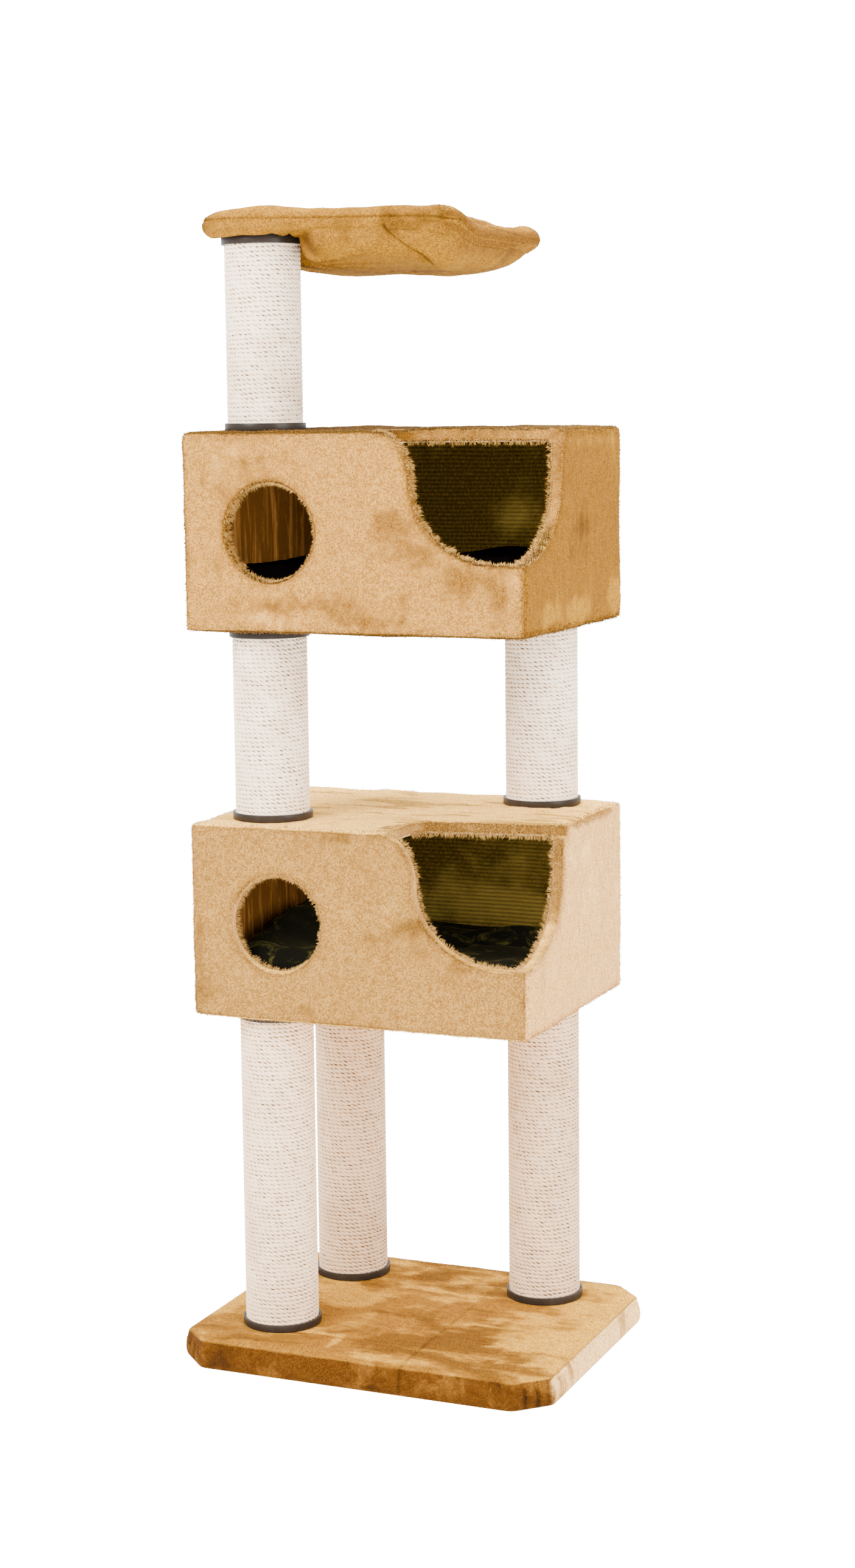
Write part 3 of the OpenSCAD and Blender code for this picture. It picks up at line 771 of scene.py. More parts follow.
def strands(name, roots, directions, bends, lengths, widths, material, body="tower",
            segments=3):
    """Tapered three-sided hairs, all in one mesh. bends is how far each tip is pulled aside."""
    count = len(roots)
    directions = directions / np.linalg.norm(directions, axis=1, keepdims=True)
    helper = np.where(np.abs(directions[:, 2:3]) < 0.9, [[0.0, 0.0, 1.0]], [[1.0, 0.0, 0.0]])
    side = np.cross(directions, helper)
    side /= np.linalg.norm(side, axis=1, keepdims=True)
    other = np.cross(directions, side)
    rings = []
    tips = []
    for k in range(segments):
        t = k / segments
        spine = roots + directions * (lengths * t)[:, None] + bends * (t * t)
        width = widths * (1 - 0.75 * t)
        for corner in range(3):
            angle = corner * 2 * np.pi / 3
            rings.append(spine + (side * np.cos(angle) + other * np.sin(angle)) * width[:, None])
            tips.append(np.full(count, t))
    rings.append(roots + directions * lengths[:, None] + bends)
    tips.append(np.ones(count))
    points = np.stack(rings, 1).reshape(-1, 3)
    per = 3 * segments + 1
    pattern = [[2, 1, 0]]
    for k in range(segments - 1):
        for corner in range(3):
            after = (corner + 1) % 3
            pattern.append([3 * k + corner, 3 * k + after, 3 * k + 3 + after, 3 * k + 3 + corner])
    top = 3 * (segments - 1)
    for corner in range(3):
        pattern.append([top + corner, top + (corner + 1) % 3, per - 1])
    faces = [[per * strand + index for index in face] for strand in range(count) for face in pattern]
    piece = new_piece(name, points, faces, material, body)
    paint_value(piece, "tip", np.stack(tips, 1).ravel())
    return piece


FRINGE_GAP = 0.16 * MM
FRINGE_LENGTH = 7.5 * MM


def house_fringe(house, rim, material, seed):
    """Loose pile that stands out of the plush where it is turned into the openings. It is longest
    at the inner edge, where the plush is cut."""
    roots, directions, bends, lengths, widths = [], [], [], [], []
    for a, b, outward, inward in rim:
        run = np.linalg.norm(b - a)
        along = (b - a) / max(run, 1e-9)
        for _ in range(random.poisson(run / FRINGE_GAP)):
            place = a + (b - a) * random.random()
            clump = noise.noise(Vector(place * 90 + seed)) + 0.6 * noise.noise(Vector(place * 260 + seed))
            depth = WALL * random.uniform(0.0, 1.0) ** 0.7
            inner = ease(depth, 0.5 * WALL, WALL)
            roots.append(place - outward * depth - inward * 2.5 * MM)
            lean = random.normal(0, 0.4) + 0.9 * clump
            directions.append(inward + outward * (random.uniform(-0.2, 0.5) - 1.0 * inner) + along * lean)
            bends.append((along * random.normal(0, 1.5) + np.array([0, 0, random.uniform(-2.5, 0)])) * MM)
            lengths.append(FRINGE_LENGTH * (0.7 + 0.5 * inner + 0.5 * clump) * random.uniform(0.7, 1.15))
            widths.append(random.uniform(0.25, 0.5) * MM)
    return strands(f"{house}_fringe", np.array(roots), np.array(directions), np.array(bends),
                   np.array(lengths), np.array(widths), material)


RIB_PITCH = 6.4 * MM
RIB_DEPTH = 0.8 * MM
LINING_GAP = 0.2 * MM
# Painted light and shade on the back lining, in millimetres: across, above the house's underside, the reach
# each way, then how strongly; a positive strength is a painted pool of light, a negative one painted shade.
LINING_LIGHT_AND_SHADE = {"upper_house": ((97, 170, 55, 42, 1.5), (60, 150, 200, 120, -0.5)),
              "lower_house": ((105, 118, 60, 30, 1.2), (60, 180, 150, 90, 0.7))}


def back_cloth(house):
    """Ribbed cloth on the back wall of the room."""
    low, high = box_of(f"{house}_back_lining")
    columns, rows = 127, 290
    x, z = np.meshgrid(np.linspace(low[0], high[0], columns), np.linspace(low[2], high[2], rows))
    flat = np.stack([x, np.full_like(x, low[1]), z], -1).reshape(-1, 3)
    waver = (0.8 * MM * ripple(flat, 90 * MM, 5)).reshape(x.shape)
    rib = 0.5 + 0.5 * np.cos(2 * np.pi * (z + waver) / RIB_PITCH)
    y = low[1] + RIB_DEPTH * (1 - rib) + 0.3 * MM * ripple(flat, 60 * MM, 9).reshape(x.shape)
    front = np.stack([x, y, z], -1)
    piece = slab_piece(f"{house}_back_cloth", front, 1, high[1] - LINING_GAP, LINING,
                       f"{house}_back_lining", 1 - rib)
    points = points_of(piece)
    underside = box_of(f"{house}_plush")[0][2]
    paint_value(piece, "nap", nap_of(points[:, 0], points[:, 2] - underside, LINING_LIGHT_AND_SHADE[house]))
    return piece


def loose_pile(name, piece, chosen, count, length, slot, body="tower"):
    """Short curved hairs over the chosen points of a plush piece, which roughen it and its outline."""
    picks = random.choice(np.flatnonzero(chosen), count)
    normals = normals_of(piece)[picks]
    aside = random.normal(0, 1, (count, 3))
    aside -= normals * (aside * normals).sum(1, keepdims=True)
    roots = points_of(piece)[picks] + aside * 2.2 * MM - normals * 0.8 * MM
    directions = normals + 0.6 * aside
    bends = (np.cross(aside, normals) * 1.2 - normals * 0.25 * length / MM) * MM
    material = piece.data.materials[0]
    pile = strands(name, roots, directions, bends, length * random.uniform(0.6, 1.1, count),
                   random.uniform(0.3, 0.55, count) * MM, material, body, 2)
    for kind in ("nap", "sideways"):
        values = read_all(piece.data.attributes[kind].data, "value", 1)
        paint_value(pile, kind, np.repeat(values[picks, 0], len(pile.data.vertices) // count))
    return pile


def slab_piece(name, front, axis, level, material, node, groove):
    """A thin closed sheet: front is its grid of points, and its flat back is at a level of one axis."""
    rows, columns = front.shape[:2]
    count = rows * columns
    border = (list(range(columns)) + [r * columns + columns - 1 for r in range(1, rows)]
              + [(rows - 1) * columns + k for k in range(columns - 2, -1, -1)]
              + [r * columns for r in range(rows - 2, 0, -1)])
    flat = front.reshape(-1, 3)
    behind = flat[border].copy()
    behind[:, axis] = level
    faces = grid_faces(rows, columns)
    for k in range(len(border)):
        after = (k + 1) % len(border)
        faces.append([border[after], border[k], count + k, count + after])
    faces.append([count + k for k in range(len(border) - 1, -1, -1)])
    piece = new_piece(name, np.concatenate([flat, behind]), faces, material)
    paint_value(piece, "groove", np.concatenate([groove.ravel(), np.ones(len(border))]))
    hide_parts(node)
    return piece


def side_cloth(house):
    """Plush on the left wall of the room, combed straight down."""
    low, high = box_of(f"{house}_side_lining")
    columns, rows = 90, 64
    y, z = np.meshgrid(np.linspace(high[1], low[1], columns), np.linspace(low[2], high[2], rows))
    flat = np.stack([np.full_like(y, high[0]), y, z], -1).reshape(-1, 3)
    comb = ripple(flat, 14 * MM, 3, (1, 1, 0.12)).reshape(y.shape)
    x = high[0] + 0.5 * MM * comb - 0.3 * MM
    return slab_piece(f"{house}_side_cloth", np.stack([x, y, z], -1), 0, low[0], SHADED_SIDE_LINING,
                      f"{house}_side_lining", 0 * comb)


def swollen(piece, pressure, frames, cap):
    """Blows the piece up as a pillow by cloth simulation; no point moves further than the cap."""
    start = points_of(piece)
    cloth = piece.modifiers.new("cloth", "CLOTH")
    cloth.settings.use_pressure = True
    cloth.settings.uniform_pressure_force = pressure
    cloth.settings.effector_weights.gravity = 0
    cloth.settings.quality = 6
    for index in range(1, frames + 1):
        bpy.context.scene.frame_set(index)
    apply_modifiers(piece)
    bpy.context.scene.frame_set(1)
    moved = points_of(piece) - start
    length = np.linalg.norm(moved, axis=1, keepdims=True)
    put_points(piece, start + moved * np.minimum(1, cap / np.maximum(length, 1e-9)))


CUSHION_VOXEL = 6 * MM
CUSHION_GAP = 1.5 * MM


def house_cushion(house, material, crumple, seed):
    """The loose velvet cushion on the floor of a house, pushed against the walls and crumpled."""
    piece = node_copy(f"{house}_velvet_cushion", [f"{house}_cushion"])
    remeshed(piece, CUSHION_VOXEL)
    low, high = box_of(f"{house}_cushion")
    points = points_of(piece)
    centre = (low + high) / 2
    shrink = np.array([6, 6, 5]) * MM
    points = centre + (points - centre) * (1 - shrink / ((high - low) / 2))
    points = smoothed(points, edges_of(piece), 8)
    put_points(piece, points)
    swollen(piece, 4.0, 20, 12 * MM)
    points = points_of(piece)
    upper = ease(points[:, 2], centre[2], high[2] - 12 * MM)
    dents = ripple(points, 110 * MM, seed) * 0.6 + ripple(points, 45 * MM, seed + 1, (0.6, 1.2, 1)) * 0.4
    points[:, 2] += upper * crumple(points, dents, low, high)
    room_low, room_high = room_of(house)
    room_low += CUSHION_GAP + np.array([2 * MM, 0, 0])
    room_high -= CUSHION_GAP + np.array([0, 2 * MM, 0])
    points = np.clip(points, room_low, room_high)
    points[:, 2] = np.maximum(points[:, 2], low[2])
    put_points(piece, points)
    dressed(piece, material)
    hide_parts(f"{house}_cushion")


def flat_with_turned_edges(points, dents, low, high):
    """The upper cushion: nearly flat, thicker at the right, its ends standing up against the walls."""
    rim = np.minimum(points[:, 0] - low[0], high[0] - points[:, 0])
    turned_up = 9 * MM * (1 - ease(rim, 0, 45 * MM))
    return 3 * MM * dents + turned_up + 14 * MM * ease(points[:, 0], 0, 120 * MM) - 5 * MM


def rumpled(points, dents, low, high):
    """The lower cushion: heaped up at the left, with folds running across it."""
    across = (points[:, 0] - low[0]) / (high[0] - low[0])
    deep = (points[:, 1] - low[1]) / (high[1] - low[1])
    heap = 40 * MM * np.exp(-((across - 0.12) / 0.13) ** 2) * np.exp(-((deep - 0.55) / 0.4) ** 2)
    wave = np.sin(9 * across)
    fold = 12 * MM * np.exp(-((deep - 0.62 - 0.08 * wave) / 0.045) ** 2) * ease(across, 0.45, 0.7)
    ditch = -16 * MM * np.exp(-((deep - 0.5 - 0.06 * wave) / 0.05) ** 2) * ease(across, 0.5, 0.65)
    return heap + fold + ditch + 9 * MM * dents - 4 * MM


def make_house(house, cover_material, fringe_paint, velvet, crumple, seed):
    """The soft pieces of one house: its plush and loose pile, its two linings and its cushion."""
    rim = rim_of(house)
    cover = house_cover(house, rim, cover_material, seed)
    fringe = house_fringe(house, rim, fringe_paint, seed)
    low, high = box_of(f"{house}_plush")
    points = points_of(cover)
    depth = np.sort(np.minimum(points - low, high - points), 1)
    pile = loose_pile(f"{house}_pile", cover, depth[:, 0] < 4 * MM, *HOUSE_PILE, "plush")
    at_edges = (depth[:, 0] < 6 * MM) & (depth[:, 1] < 9 * MM)
    edge_pile = loose_pile(f"{house}_edge_pile", cover, at_edges, *EDGE_PILE, "plush")
    back = back_cloth(house)
    low, high = box_of(f"{house}_back_lining")
    side = side_cloth(house)
    low, high = box_of(f"{house}_side_lining")
    house_cushion(house, velvet, crumple, seed)


make_house("lower_house", LOWER_PLUSH, LOWER_FRINGE, LOWER_VELVET, rumpled, 3)
make_house("upper_house", UPPER_PLUSH, UPPER_FRINGE, SHADED_VELVET, flat_with_turned_edges, 8)

# ---- Base ----

BASE_VOXEL = 5 * MM
BASE_EDGE_R = 25 * MM
BASE_FOOT_R = 8 * MM
BASE_SKIN = 12 * MM
BASE_TURN_IN = 45 * MM
BASE_SEAM_X = 78 * MM
BASE_PILE = (14000, 3.6 * MM)  # how many loose hairs, and how long
PLEATS = ((-12, 4.0), (9, 3.5), (26, 3.0))  # creases at a cut corner: place along it and width, in mm

# Where the nap of the base lies the other way, painted as shade and sheen: the same numbers as for the
# houses, seen from above.
BASE_NAP = (
    (-298, -88, 30, 60, -1.2), (-120, 15, 62, 46, -1.6), (-59, -188, 8, 30, -1.5), (-105, -154, 50, 6, -1.0),
    (20, 60, 30, 8, -0.9), (-13, 98, 14, 10, -0.8), (243, -60, 40, 46, -1.5), (300, 20, 30, 90, -1.4),
    (218, -103, 30, 14, -1.2), (244, 215, 60, 20, -1.5), (299, 180, 30, 50, -1.5), (243, 96, 36, 26, -0.9),
    (-113, 211, 30, 14, -1.3), (12, -150, 60, 38, 0.9), (127, -108, 60, 46, 0.9), (101, 25, 30, 36, 0.8),
    (-48, 155, 40, 16, 1.0), (-180, -215, 50, 16, 0.6), (0, -30, 60, 24, 0.5),
)


def octagon(half_w, half_d, corner):
    """A rectangle with its corners cut off, from the front edge anticlockwise."""
    u, v = half_w - corner, half_d - corner
    return [(-u, -half_d), (u, -half_d), (half_w, -v), (half_w, v),
            (u, half_d), (-u, half_d), (-half_w, v), (-half_w, -v)]


def prism(name, outline, bottom, top):
    count = len(outline)
    points = [(x, y, z) for z in (bottom, top) for x, y in outline]
    faces = [list(range(count))[::-1], list(range(count, 2 * count))]
    faces += [[k, (k + 1) % count, count + (k + 1) % count, count + k] for k in range(count)]
    mesh = bpy.data.meshes.new(name)
    mesh.from_pydata(points, [], faces)
    piece = bpy.data.objects.new(name, mesh)
    bpy.context.scene.collection.objects.link(piece)
    return piece


def cut(piece, tool):
    modifier = piece.modifiers.new("cut", "BOOLEAN")
    modifier.operation = "DIFFERENCE"
    modifier.object = tool
    modifier.solver = "EXACT"
    apply_modifiers(piece)
    bpy.data.objects.remove(tool)


def nearest_in(points, outline):
    """The nearest place of a convex outline to each point, and the point itself where it is inside."""
    best = np.full(len(points), np.inf)
    place = points.copy()
    inside = np.ones(len(points), bool)
    for a, b in zip(outline, outline[1:] + outline[:1]):
        a, b = np.array(a), np.array(b)
        edge = b - a
        offset = points - a
        inside &= (edge[0] * offset[:, 1] - edge[1] * offset[:, 0]) >= 0
        t = np.clip(offset @ edge / (edge @ edge), 0, 1)
        candidate = a + t[:, None] * edge
        distance = np.linalg.norm(points - candidate, axis=1)
        nearer = distance < best
        best = np.where(nearer, distance, best)
        place[nearer] = candidate[nearer]
    place[inside] = points[inside]
    return place


def soft_edges(points, skin, ring, height):
    """Rounds the edges of the base: widely along its top, and closely along its foot."""
    top = points[:, 2] > height - BASE_EDGE_R
    for radius, chosen in ((BASE_EDGE_R, top), (BASE_FOOT_R, ~top)):
        pick = skin & chosen
        core = np.empty((pick.sum(), 3))
        core[:, :2] = nearest_in(points[pick][:, :2], ring(radius))
        core[:, 2] = np.clip(points[pick][:, 2], radius, height - radius)
        points[pick] = rounded(points[pick], core, radius)


def gathers(points, half_w, half_d, corner, height):
    """The bulge at each cut corner, and the pleats that run up it."""
    bulge = np.zeros(len(points))
    pleats = np.zeros(len(points))
    for sx, sy in ((-1, -1), (-1, 1), (1, -1), (1, 1)):
        away = points[:, :2] - np.array([sx * (half_w - corner / 2), sy * (half_d - corner / 2)])
        along = away @ (np.array([-sy, sx]) / math.sqrt(2))
        near = np.exp(-(np.linalg.norm(away, axis=1) / (34 * MM)) ** 2)
        low_down = near * (1 - ease(points[:, 2], 20 * MM, height - 4 * MM))
        fold = sum(np.exp(-((along / MM - place) / width) ** 2) for place, width in PLEATS) * low_down
        bulge += low_down
        pleats = np.maximum(pleats, fold)
    return bulge, pleats


def pressed_under_legs(points, skin, height):
    """Presses the top of the base flat under the caps of the legs."""
    top_side = skin & (points[:, 2] > height - 6 * MM)
    for post in POSTS[:3]:
        cap_low, cap_high = box_of(f"{post}_lower_cap")
        cap_r = (cap_high[0] - cap_low[0]) / 2
        away = np.linalg.norm(points[:, :2] - middle_of(f"{post}_lower_cap"), axis=1)
        pressed = 1 - ease(away, cap_r - 1 * MM, cap_r + 7 * MM)
        points[top_side, 2] -= (pressed * (points[:, 2] - (height - 0.8 * MM)))[top_side]


def make_base():
    """The plush over the base: soft edges, gathers at the cut corners and one seam across the top."""
    low, high = box_of("base_plush")
    half_w, half_d = (high[0] - low[0]) / 2, (high[1] - low[1]) / 2
    height = high[2]
    corner = half_w + half_d - (points_of(NODES["base_plush"]) @ np.array([1, 1, 0])).max()
    inset = 2 - math.sqrt(2)

    def ring(gap):
        return octagon(half_w - gap, half_d - gap, corner - gap * inset)

    piece = prism("base_cover", ring(0), 0, height)
    cut(piece, prism("base_hollow", ring(BASE_SKIN), BASE_SKIN - 2 * MM, height - BASE_SKIN))
    cut(piece, prism("base_mouth", ring(BASE_TURN_IN), -1 * MM, BASE_SKIN))
    remeshed(piece, BASE_VOXEL)
    points = points_of(piece)
    outside = np.linalg.norm(points[:, :2] - nearest_in(points[:, :2], ring(1 * MM)), axis=1) > 1e-6
    skin = (points[:, 2] > height - 1 * MM) | outside | (points[:, 2] < 1 * MM)
    soft_edges(points, skin, ring, height)
    points = smoothed(points, edges_of(piece), 4)
    put_points(piece, points)
    normals = normals_of(piece)
    sideways = ease(np.abs(normals[:, 0]), 0.75, 0.97)
    bulge, pleats = gathers(points, half_w, half_d, corner, height)
    seam = np.exp(-((points[:, 0] - BASE_SEAM_X) / (2.6 * MM)) ** 2)
    seam *= 1 - 0.8 * ease(points[:, 1], -100 * MM, 80 * MM)
    swell = 1.0 * MM * ripple(points, 80 * MM, 21) + 0.6 * MM * ripple(points, 24 * MM, 22)
    swell += 2.0 * MM * bulge - 5.0 * MM * pleats - 1.6 * MM * seam
    swell *= ease(points[:, 2], 2 * MM, 12 * MM) * skin
    points = points + normals * swell[:, None]
    pressed_under_legs(points, skin, height)
    points[:, 2] = np.maximum(points[:, 2], 0)
    put_points(piece, points)
    dressed(piece, BASE_PLUSH)
    paint_value(piece, "rim", 0.5 * seam)
    paint_value(piece, "sideways", sideways)
    # Painted shade in the pleats, and the seam as a darker line.
    paint_value(piece, "seam_and_crease_shade", 0.3 * seam + 0.8 * pleats)
    paint_value(piece, "nap", nap_of(points[:, 0], points[:, 1], BASE_NAP))
    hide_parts("base_plush")
    shown = skin & (points[:, 2] > 12 * MM)
    for post in POSTS[:3]:
        shown &= np.linalg.norm(points[:, :2] - middle_of(f"{post}_tube"), axis=1) > 75 * MM
    pile = loose_pile("base_pile", piece, shown, *BASE_PILE, "base_plush")


make_base()

# ---- Hammock ----

SLING_CELLS = 210
ROLL_W = 20 * MM
ROLL_H = 15.5 * MM
CORNER_R = 70 * MM
TUBE_PLUSH = 3.5 * MM  # the least plush over the frame tube
SLING_PILE = (14000, 3.2 * MM)  # how many loose hairs, and how long
SWIVEL = np.array(frame["joints"][0]["pos_m"])


def hammock_axes():
    """The hammock's centre and its drooping axes, taken from the plane of its own frame tube."""
    points = points_of(NODES["hammock_frame"])
    centre = (points.min(0) + points.max(0)) / 2
    up = np.linalg.svd(points - points.mean(0), full_matrices=False)[2][2]
    up = up * np.sign(up[2])
    right = np.array([1.0, 0.0, 0.0]) - up * up[0]
    right /= np.linalg.norm(right)
    return centre, np.stack([right, np.cross(up, right), up])


def through(knots, values):
    """A smooth curve through the knots, each a distance and a height in millimetres."""
    x = np.array([k[0] for k in knots]) * MM
    y = np.array([k[1] for k in knots]) * MM
    slope = np.gradient(y, x)
    place = np.clip(np.searchsorted(x, values) - 1, 0, len(x) - 2)
    width = x[place + 1] - x[place]
    t = np.clip((values - x[place]) / width, 0, 1)
    return ((2 * t ** 3 - 3 * t ** 2 + 1) * y[place] + (t ** 3 - 2 * t ** 2 + t) * width * slope[place]
            + (3 * t ** 2 - 2 * t ** 3) * y[place + 1] + (t ** 3 - t ** 2) * width * slope[place + 1])


def square_rings(half, corner, cells):
    """A grid of points in rings from the middle of a rounded square to its outline, which are close
    together near the outline, and each point's distance from the outline."""
    line = np.sin(np.linspace(-1, 1, cells + 1) * np.pi / 2)
    u, v = np.meshgrid(line, line)
    size = np.maximum(np.abs(u), np.abs(v))
    edge = np.stack([u, v], -1) / np.maximum(size, 1e-9)[..., None] * half
    outline = rounded(edge, np.clip(edge, corner - half, half - corner), corner)
    return outline * size[..., None], (1 - size) * half


BOWL_TOP = ((20, 15.7), (30, 12), (42, -10), (58, -30), (90, -42), (130, -46), (208, -47))
BOWL_UNDER = ((12, -13.5), (22, -27), (38, -42), (58, -49), (90, -52), (130, -53.5), (208, -54))

# Along the depth of the sling, and how far to the right the edge of the lapped cloth lies there.
LAP_EDGE = ((-208, 104), (-194, 108), (-181, 126), (-165, 140), (-144, 147), (-100, 146), (-19, 130),
            (81, 112), (208, 100))
LAP_STEP = 7 * MM

# Where the roll is plumper, in millimetres: right, back, reach, how much.
SLING_PLUMP = ((-190, -190, 70, 5.0), (-100, -205, 60, 6.5), (190, 180, 60, 3.5))

# Where the roll rises or sags, in millimetres: right, back, reach, rise.
SLING_SAGS = ((190, -165, 38, 9), (120, -196, 40, 3), (-200, -196, 60, -5), (208, -70, 80, -8),
              (190, 150, 50, 7), (20, -208, 70, 2))

# Where the nap of the sling lies the other way, painted as shade and sheen: the same numbers as for the
# base.
SLING_NAP = ((10, -195, 60, 25, 0.8), (150, -60, 40, 60, -0.8))


def sling_layers(inward, beyond):
    """Heights of the sling's upper and lower cloth over its frame's plane. The bag falls away
    steeply beyond the square that lies on the post."""
    roll = np.sqrt(np.clip(1 - ((inward - ROLL_W) / ROLL_W) ** 2, 0, 1))
    above = np.where(inward < ROLL_W, ROLL_H * roll + 0.2 * MM, through(BOWL_TOP, inward))
    hung = np.minimum(inward, 12 * MM + 1.8 * np.maximum(beyond, 0))
    bag = through(BOWL_UNDER, np.maximum(hung, 12 * MM))
    blend = ease(inward, 6 * MM, 14 * MM)
    below = (1 - blend) * (0.2 * MM - ROLL_H * roll) + blend * bag
    return above, below


def post_well(lower, reach, outside, plate_top, bolt_top):
    """The lower cloth lifted over the plate and the bolt on the top post."""
    well = plate_top + 0.9 * MM + (bolt_top + 1.5 * MM - plate_top) * (1 - ease(reach, 22 * MM, 45 * MM))
    lifted = np.maximum(lower, well - 200 * MM * ease(outside, 0, 9 * MM) ** 2)
    return np.where(outside < 9 * MM, lifted, lower)


def spots_at(across, back, spots):
    """The sum of round spots at places in millimetres, in metres."""
    return sum(rise * MM * np.exp(-((across - u) ** 2 + (back - v) ** 2) / reach ** 2)
               for u, v, reach, rise in spots)


def round_tube(inward, half, tube):
    """Where the sling lies over its frame tube, and how far from the frame's plane it has to be."""
    radius = tube[:, 2].max() + TUBE_PLUSH
    aside = inward - (half - tube[:, :2].max() + tube[:, 2].max())
    return np.abs(aside) < radius, np.sqrt(np.clip(radius ** 2 - aside ** 2, 0, None))


def post_folds(reach, angle, inward):
    """Folds that run outwards from the plate on the post."""
    pull = np.exp(-((reach - 64 * MM) / (95 * MM)) ** 2) * ease(reach, 60 * MM, 80 * MM)
    pull *= ease(inward, 12 * MM, 34 * MM)
    return pull * np.sin(19 * angle + 2.2 * np.sin(3 * angle) + reach / (55 * MM))


def shaped_layers(upper, lower, folds, inward):
    """Gives the two cloths their lumps and folds, and lifts them over the plate and its bolt."""
    plate_low, plate_high = box_of("hammock_plate")
    offset = lower[..., :2] - SWIVEL[:2]
    reach = np.linalg.norm(offset, axis=-1)
    corner = np.maximum(np.abs(offset) - ((plate_high[0] - plate_low[0]) / 2 - 26 * MM), 0)
    outside = np.minimum(reach - 64.5 * MM, np.linalg.norm(corner, axis=-1) - 26.5 * MM)
    flat = lower.reshape(-1, 3)
    lumps = 2.4 * MM * ripple(flat, 85 * MM, 31) + 0.9 * MM * ripple(flat, 24 * MM, 32)
    lumps = lumps.reshape(inward.shape) * (0.4 + 0.6 * ease(inward, 2 * MM, 30 * MM))
    lower[..., 2] += 4.2 * MM * folds + lumps
    upper[..., 2] += lumps + 1.5 * MM * folds
    bolt_top = box_of("hammock_bolt")[1][2]
    lower[..., 2] = post_well(lower[..., 2], reach, outside, plate_high[2], bolt_top)
    hump = 1 - ease(reach, 66 * MM, 100 * MM)
    lifted = upper[..., 2] * (1 - hump) + hump * (plate_high[2] + 14 * MM)
    upper[..., 2] = np.maximum(upper[..., 2], lifted)
    upper[..., 2] = np.maximum(upper[..., 2], lower[..., 2] + 5 * MM * ease(inward, 0, 12 * MM))


def two_layers(upper, lower, border):
    """The points and faces of two grids that are joined along their border."""
    cells = len(border)
    index = np.full(border.shape, -1)
    index[~border] = cells * cells + np.arange((~border).sum())
    index[border] = np.arange(cells * cells).reshape(cells, cells)[border]
    faces = grid_faces(cells, cells)
    for corners in grid_faces(cells, cells, flip=True):
        faces.append([int(index.flat[k]) for k in corners])
    return np.concatenate([upper.reshape(-1, 3), lower[~border]]), faces


def on_lower(values, border):
    """Values of the lower grid, as one for each point of two_layers, with 0 on the upper one."""
    return np.concatenate([np.zeros(border.size), values[~border]])


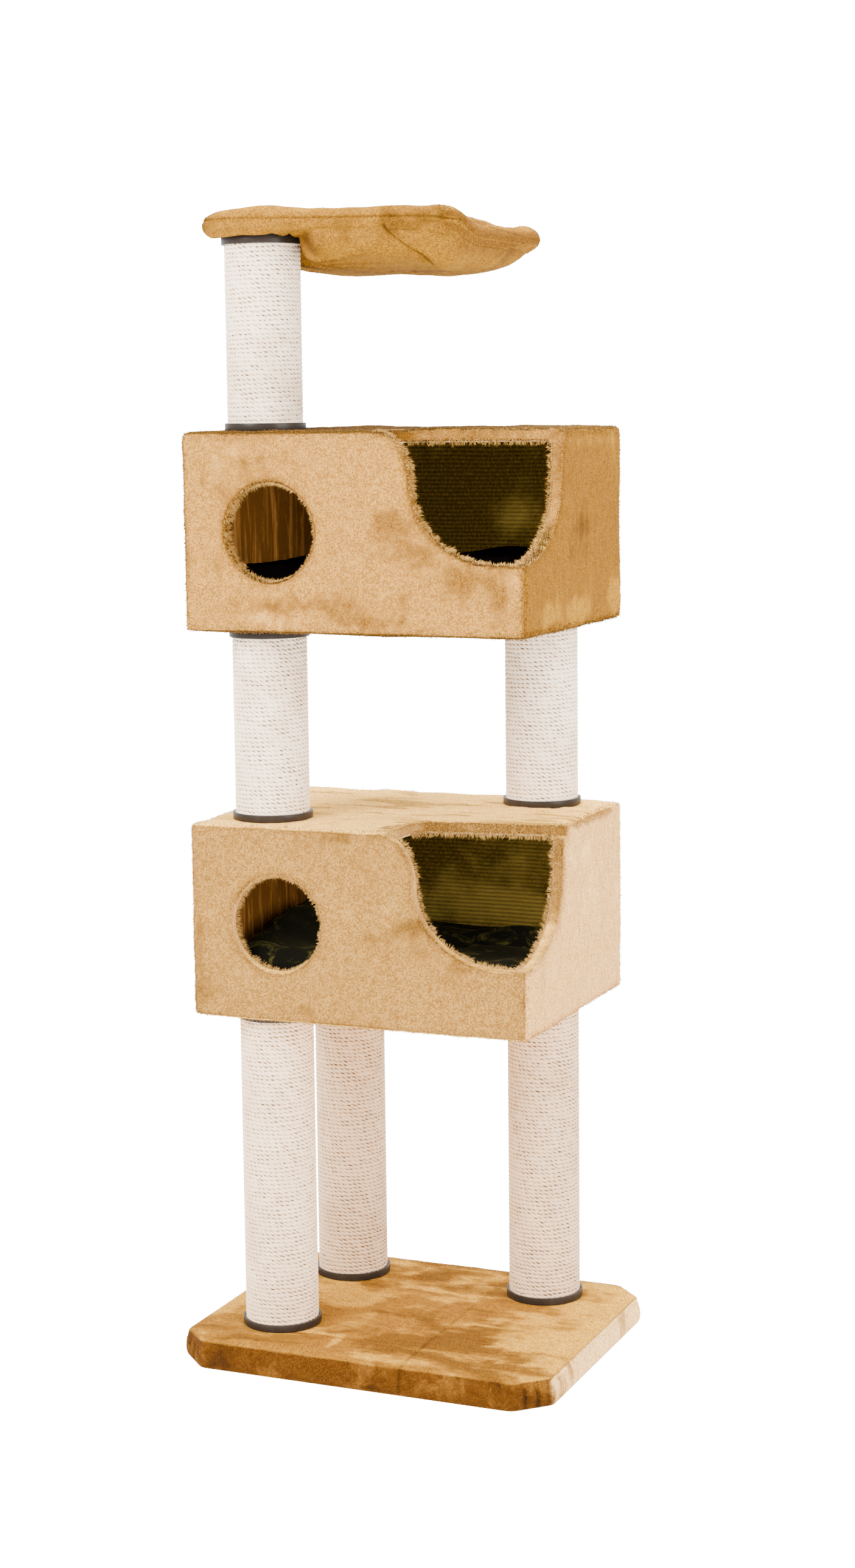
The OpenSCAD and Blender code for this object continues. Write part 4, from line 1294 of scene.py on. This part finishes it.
def make_sling():
    """The plush sling: a roll round the frame tube, a bag hung in it, and a well over the top post."""
    centre, axes = hammock_axes()
    low, high = box_of("hammock_sling")
    half = (high[0] - low[0]) / 2
    places, inward = square_rings(half, CORNER_R, SLING_CELLS)
    post = (np.append(SWIVEL[:2], centre[2]) - centre) @ axes.T
    ahead = np.maximum(post[1] - places[..., 1], 0)
    beyond = np.maximum(places[..., 0] - post[0] - 56 * MM - 0.9 * ahead, places[..., 1] - post[1] - 56 * MM)
    across, back = places[..., 0] / MM, places[..., 1] / MM
    sag = spots_at(across, back, SLING_SAGS) + 4 * MM * back / 208 * ease(inward, 15 * MM, 60 * MM)
    above, below = (layer + sag for layer in sling_layers(inward, beyond))
    covered, cover = round_tube(inward, half, (points_of(NODES["hammock_frame"]) - centre) @ axes.T)
    above = np.where(covered, np.maximum(above, cover), above)
    below = np.where(covered, np.minimum(below, -cover), below)
    upper, lower = (centre + np.concatenate([places, height[..., None]], -1) @ axes
                    for height in (above, below))

    offset = lower[..., :2] - SWIVEL[:2]
    folds = post_folds(np.linalg.norm(offset, axis=-1), np.arctan2(offset[..., 1], offset[..., 0]), inward)
    shaped_layers(upper, lower, folds, inward)
    border = inward < 1e-9
    points, faces = two_layers(upper, lower, border)
    piece = new_piece("hammock_cloth", points, faces, SLING_PLUSH, "hammock")

    lap = across - through(LAP_EDGE, places[..., 1]) / MM
    lap_share = ease(inward, 4 * MM, 12 * MM) * (1 - ease(back, 0, 120))
    edge_line = np.exp(-((lap + 2.0) / 4.0) ** 2) * lap_share
    step = on_lower(LAP_STEP * ease(lap, -1.0, 3.0) * lap_share - 1.5 * MM * edge_line, border)
    points = smoothed(points_of(piece), edges_of(piece), 2, 0.35)
    reach = np.linalg.norm(points[:, :2] - SWIVEL[:2], axis=1)
    placed = (points - centre) @ axes[:2].T / MM
    plump = spots_at(placed[:, 0], placed[:, 1], SLING_PLUMP) * ease(reach, 66 * MM, 72 * MM)
    points += normals_of(piece) * (step + plump)[:, None]

    placed = (points - centre) @ axes[:2].T
    near_edge = 0.35 + 0.65 * ease(-placed[:, 1], half - 60 * MM, half - 30 * MM)
    near_edge *= half - np.abs(placed).max(1) < 30 * MM
    seam = np.exp(-(((points - centre) @ axes[2] - 2.0 * MM) / (1.6 * MM)) ** 2) * near_edge
    direction = placed / np.maximum(np.linalg.norm(placed, axis=1, keepdims=True), 1e-9)
    points = points - (direction * (seam * 2.0 * MM)[:, None]) @ axes[:2]
    put_points(piece, points)
    # Painted shadow along the edge of the lapped cloth, and painted shade in the valleys of the folds.
    dark = on_lower(np.maximum(edge_line, 0.8 * np.maximum(-folds, 0)), border)
    paint_value(piece, "rim", seam)
    paint_value(piece, "seam_and_crease_shade", np.maximum(0.15 * seam, dark))
    paint_value(piece, "nap", nap_of(placed[:, 0], placed[:, 1], SLING_NAP))
    paint_value(piece, "sideways", ease(np.abs(normals_of(piece)[:, 0]), 0.5, 0.9))
    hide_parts("hammock_sling")
    pile = loose_pile("hammock_pile", piece, reach > 80 * MM, *SLING_PILE, "sling_plush", "hammock")


make_sling()

# ---- CAD parts that stay ----


def repaint(node, material):
    NODES[node].data.materials.clear()
    NODES[node].data.materials.append(material)


def soften_edges(node, width):
    """Rounds the sharp edges of a CAD part with modifiers, its mesh left as it is."""
    weld = NODES[node].modifiers.new("weld", "WELD")
    weld.merge_threshold = 0.01 * MM
    bevel = NODES[node].modifiers.new("bevel", "BEVEL")
    bevel.width = width
    bevel.segments = 2
    bevel.limit_method = "ANGLE"


for post in POSTS:
    repaint(f"{post}_tube", CARD)
    for end in ("lower_cap", "upper_cap"):
        repaint(f"{post}_{end}", CAP)
        soften_edges(f"{post}_{end}", 0.8 * MM)
for house in HOUSES:
    for panel in PANELS:
        repaint(f"{house}_{panel}", BOARD)
    repaint(f"{house}_screws", ZINC)
repaint("base_board", BOARD)
for node in ("base_staples", "post_bolts", "post_washers", "hammock_bolt", "hammock_washer"):
    repaint(node, ZINC)
repaint("post_inserts", BRASS)
for node in ("hammock_plate", "hammock_frame"):
    repaint(node, PAINTED)
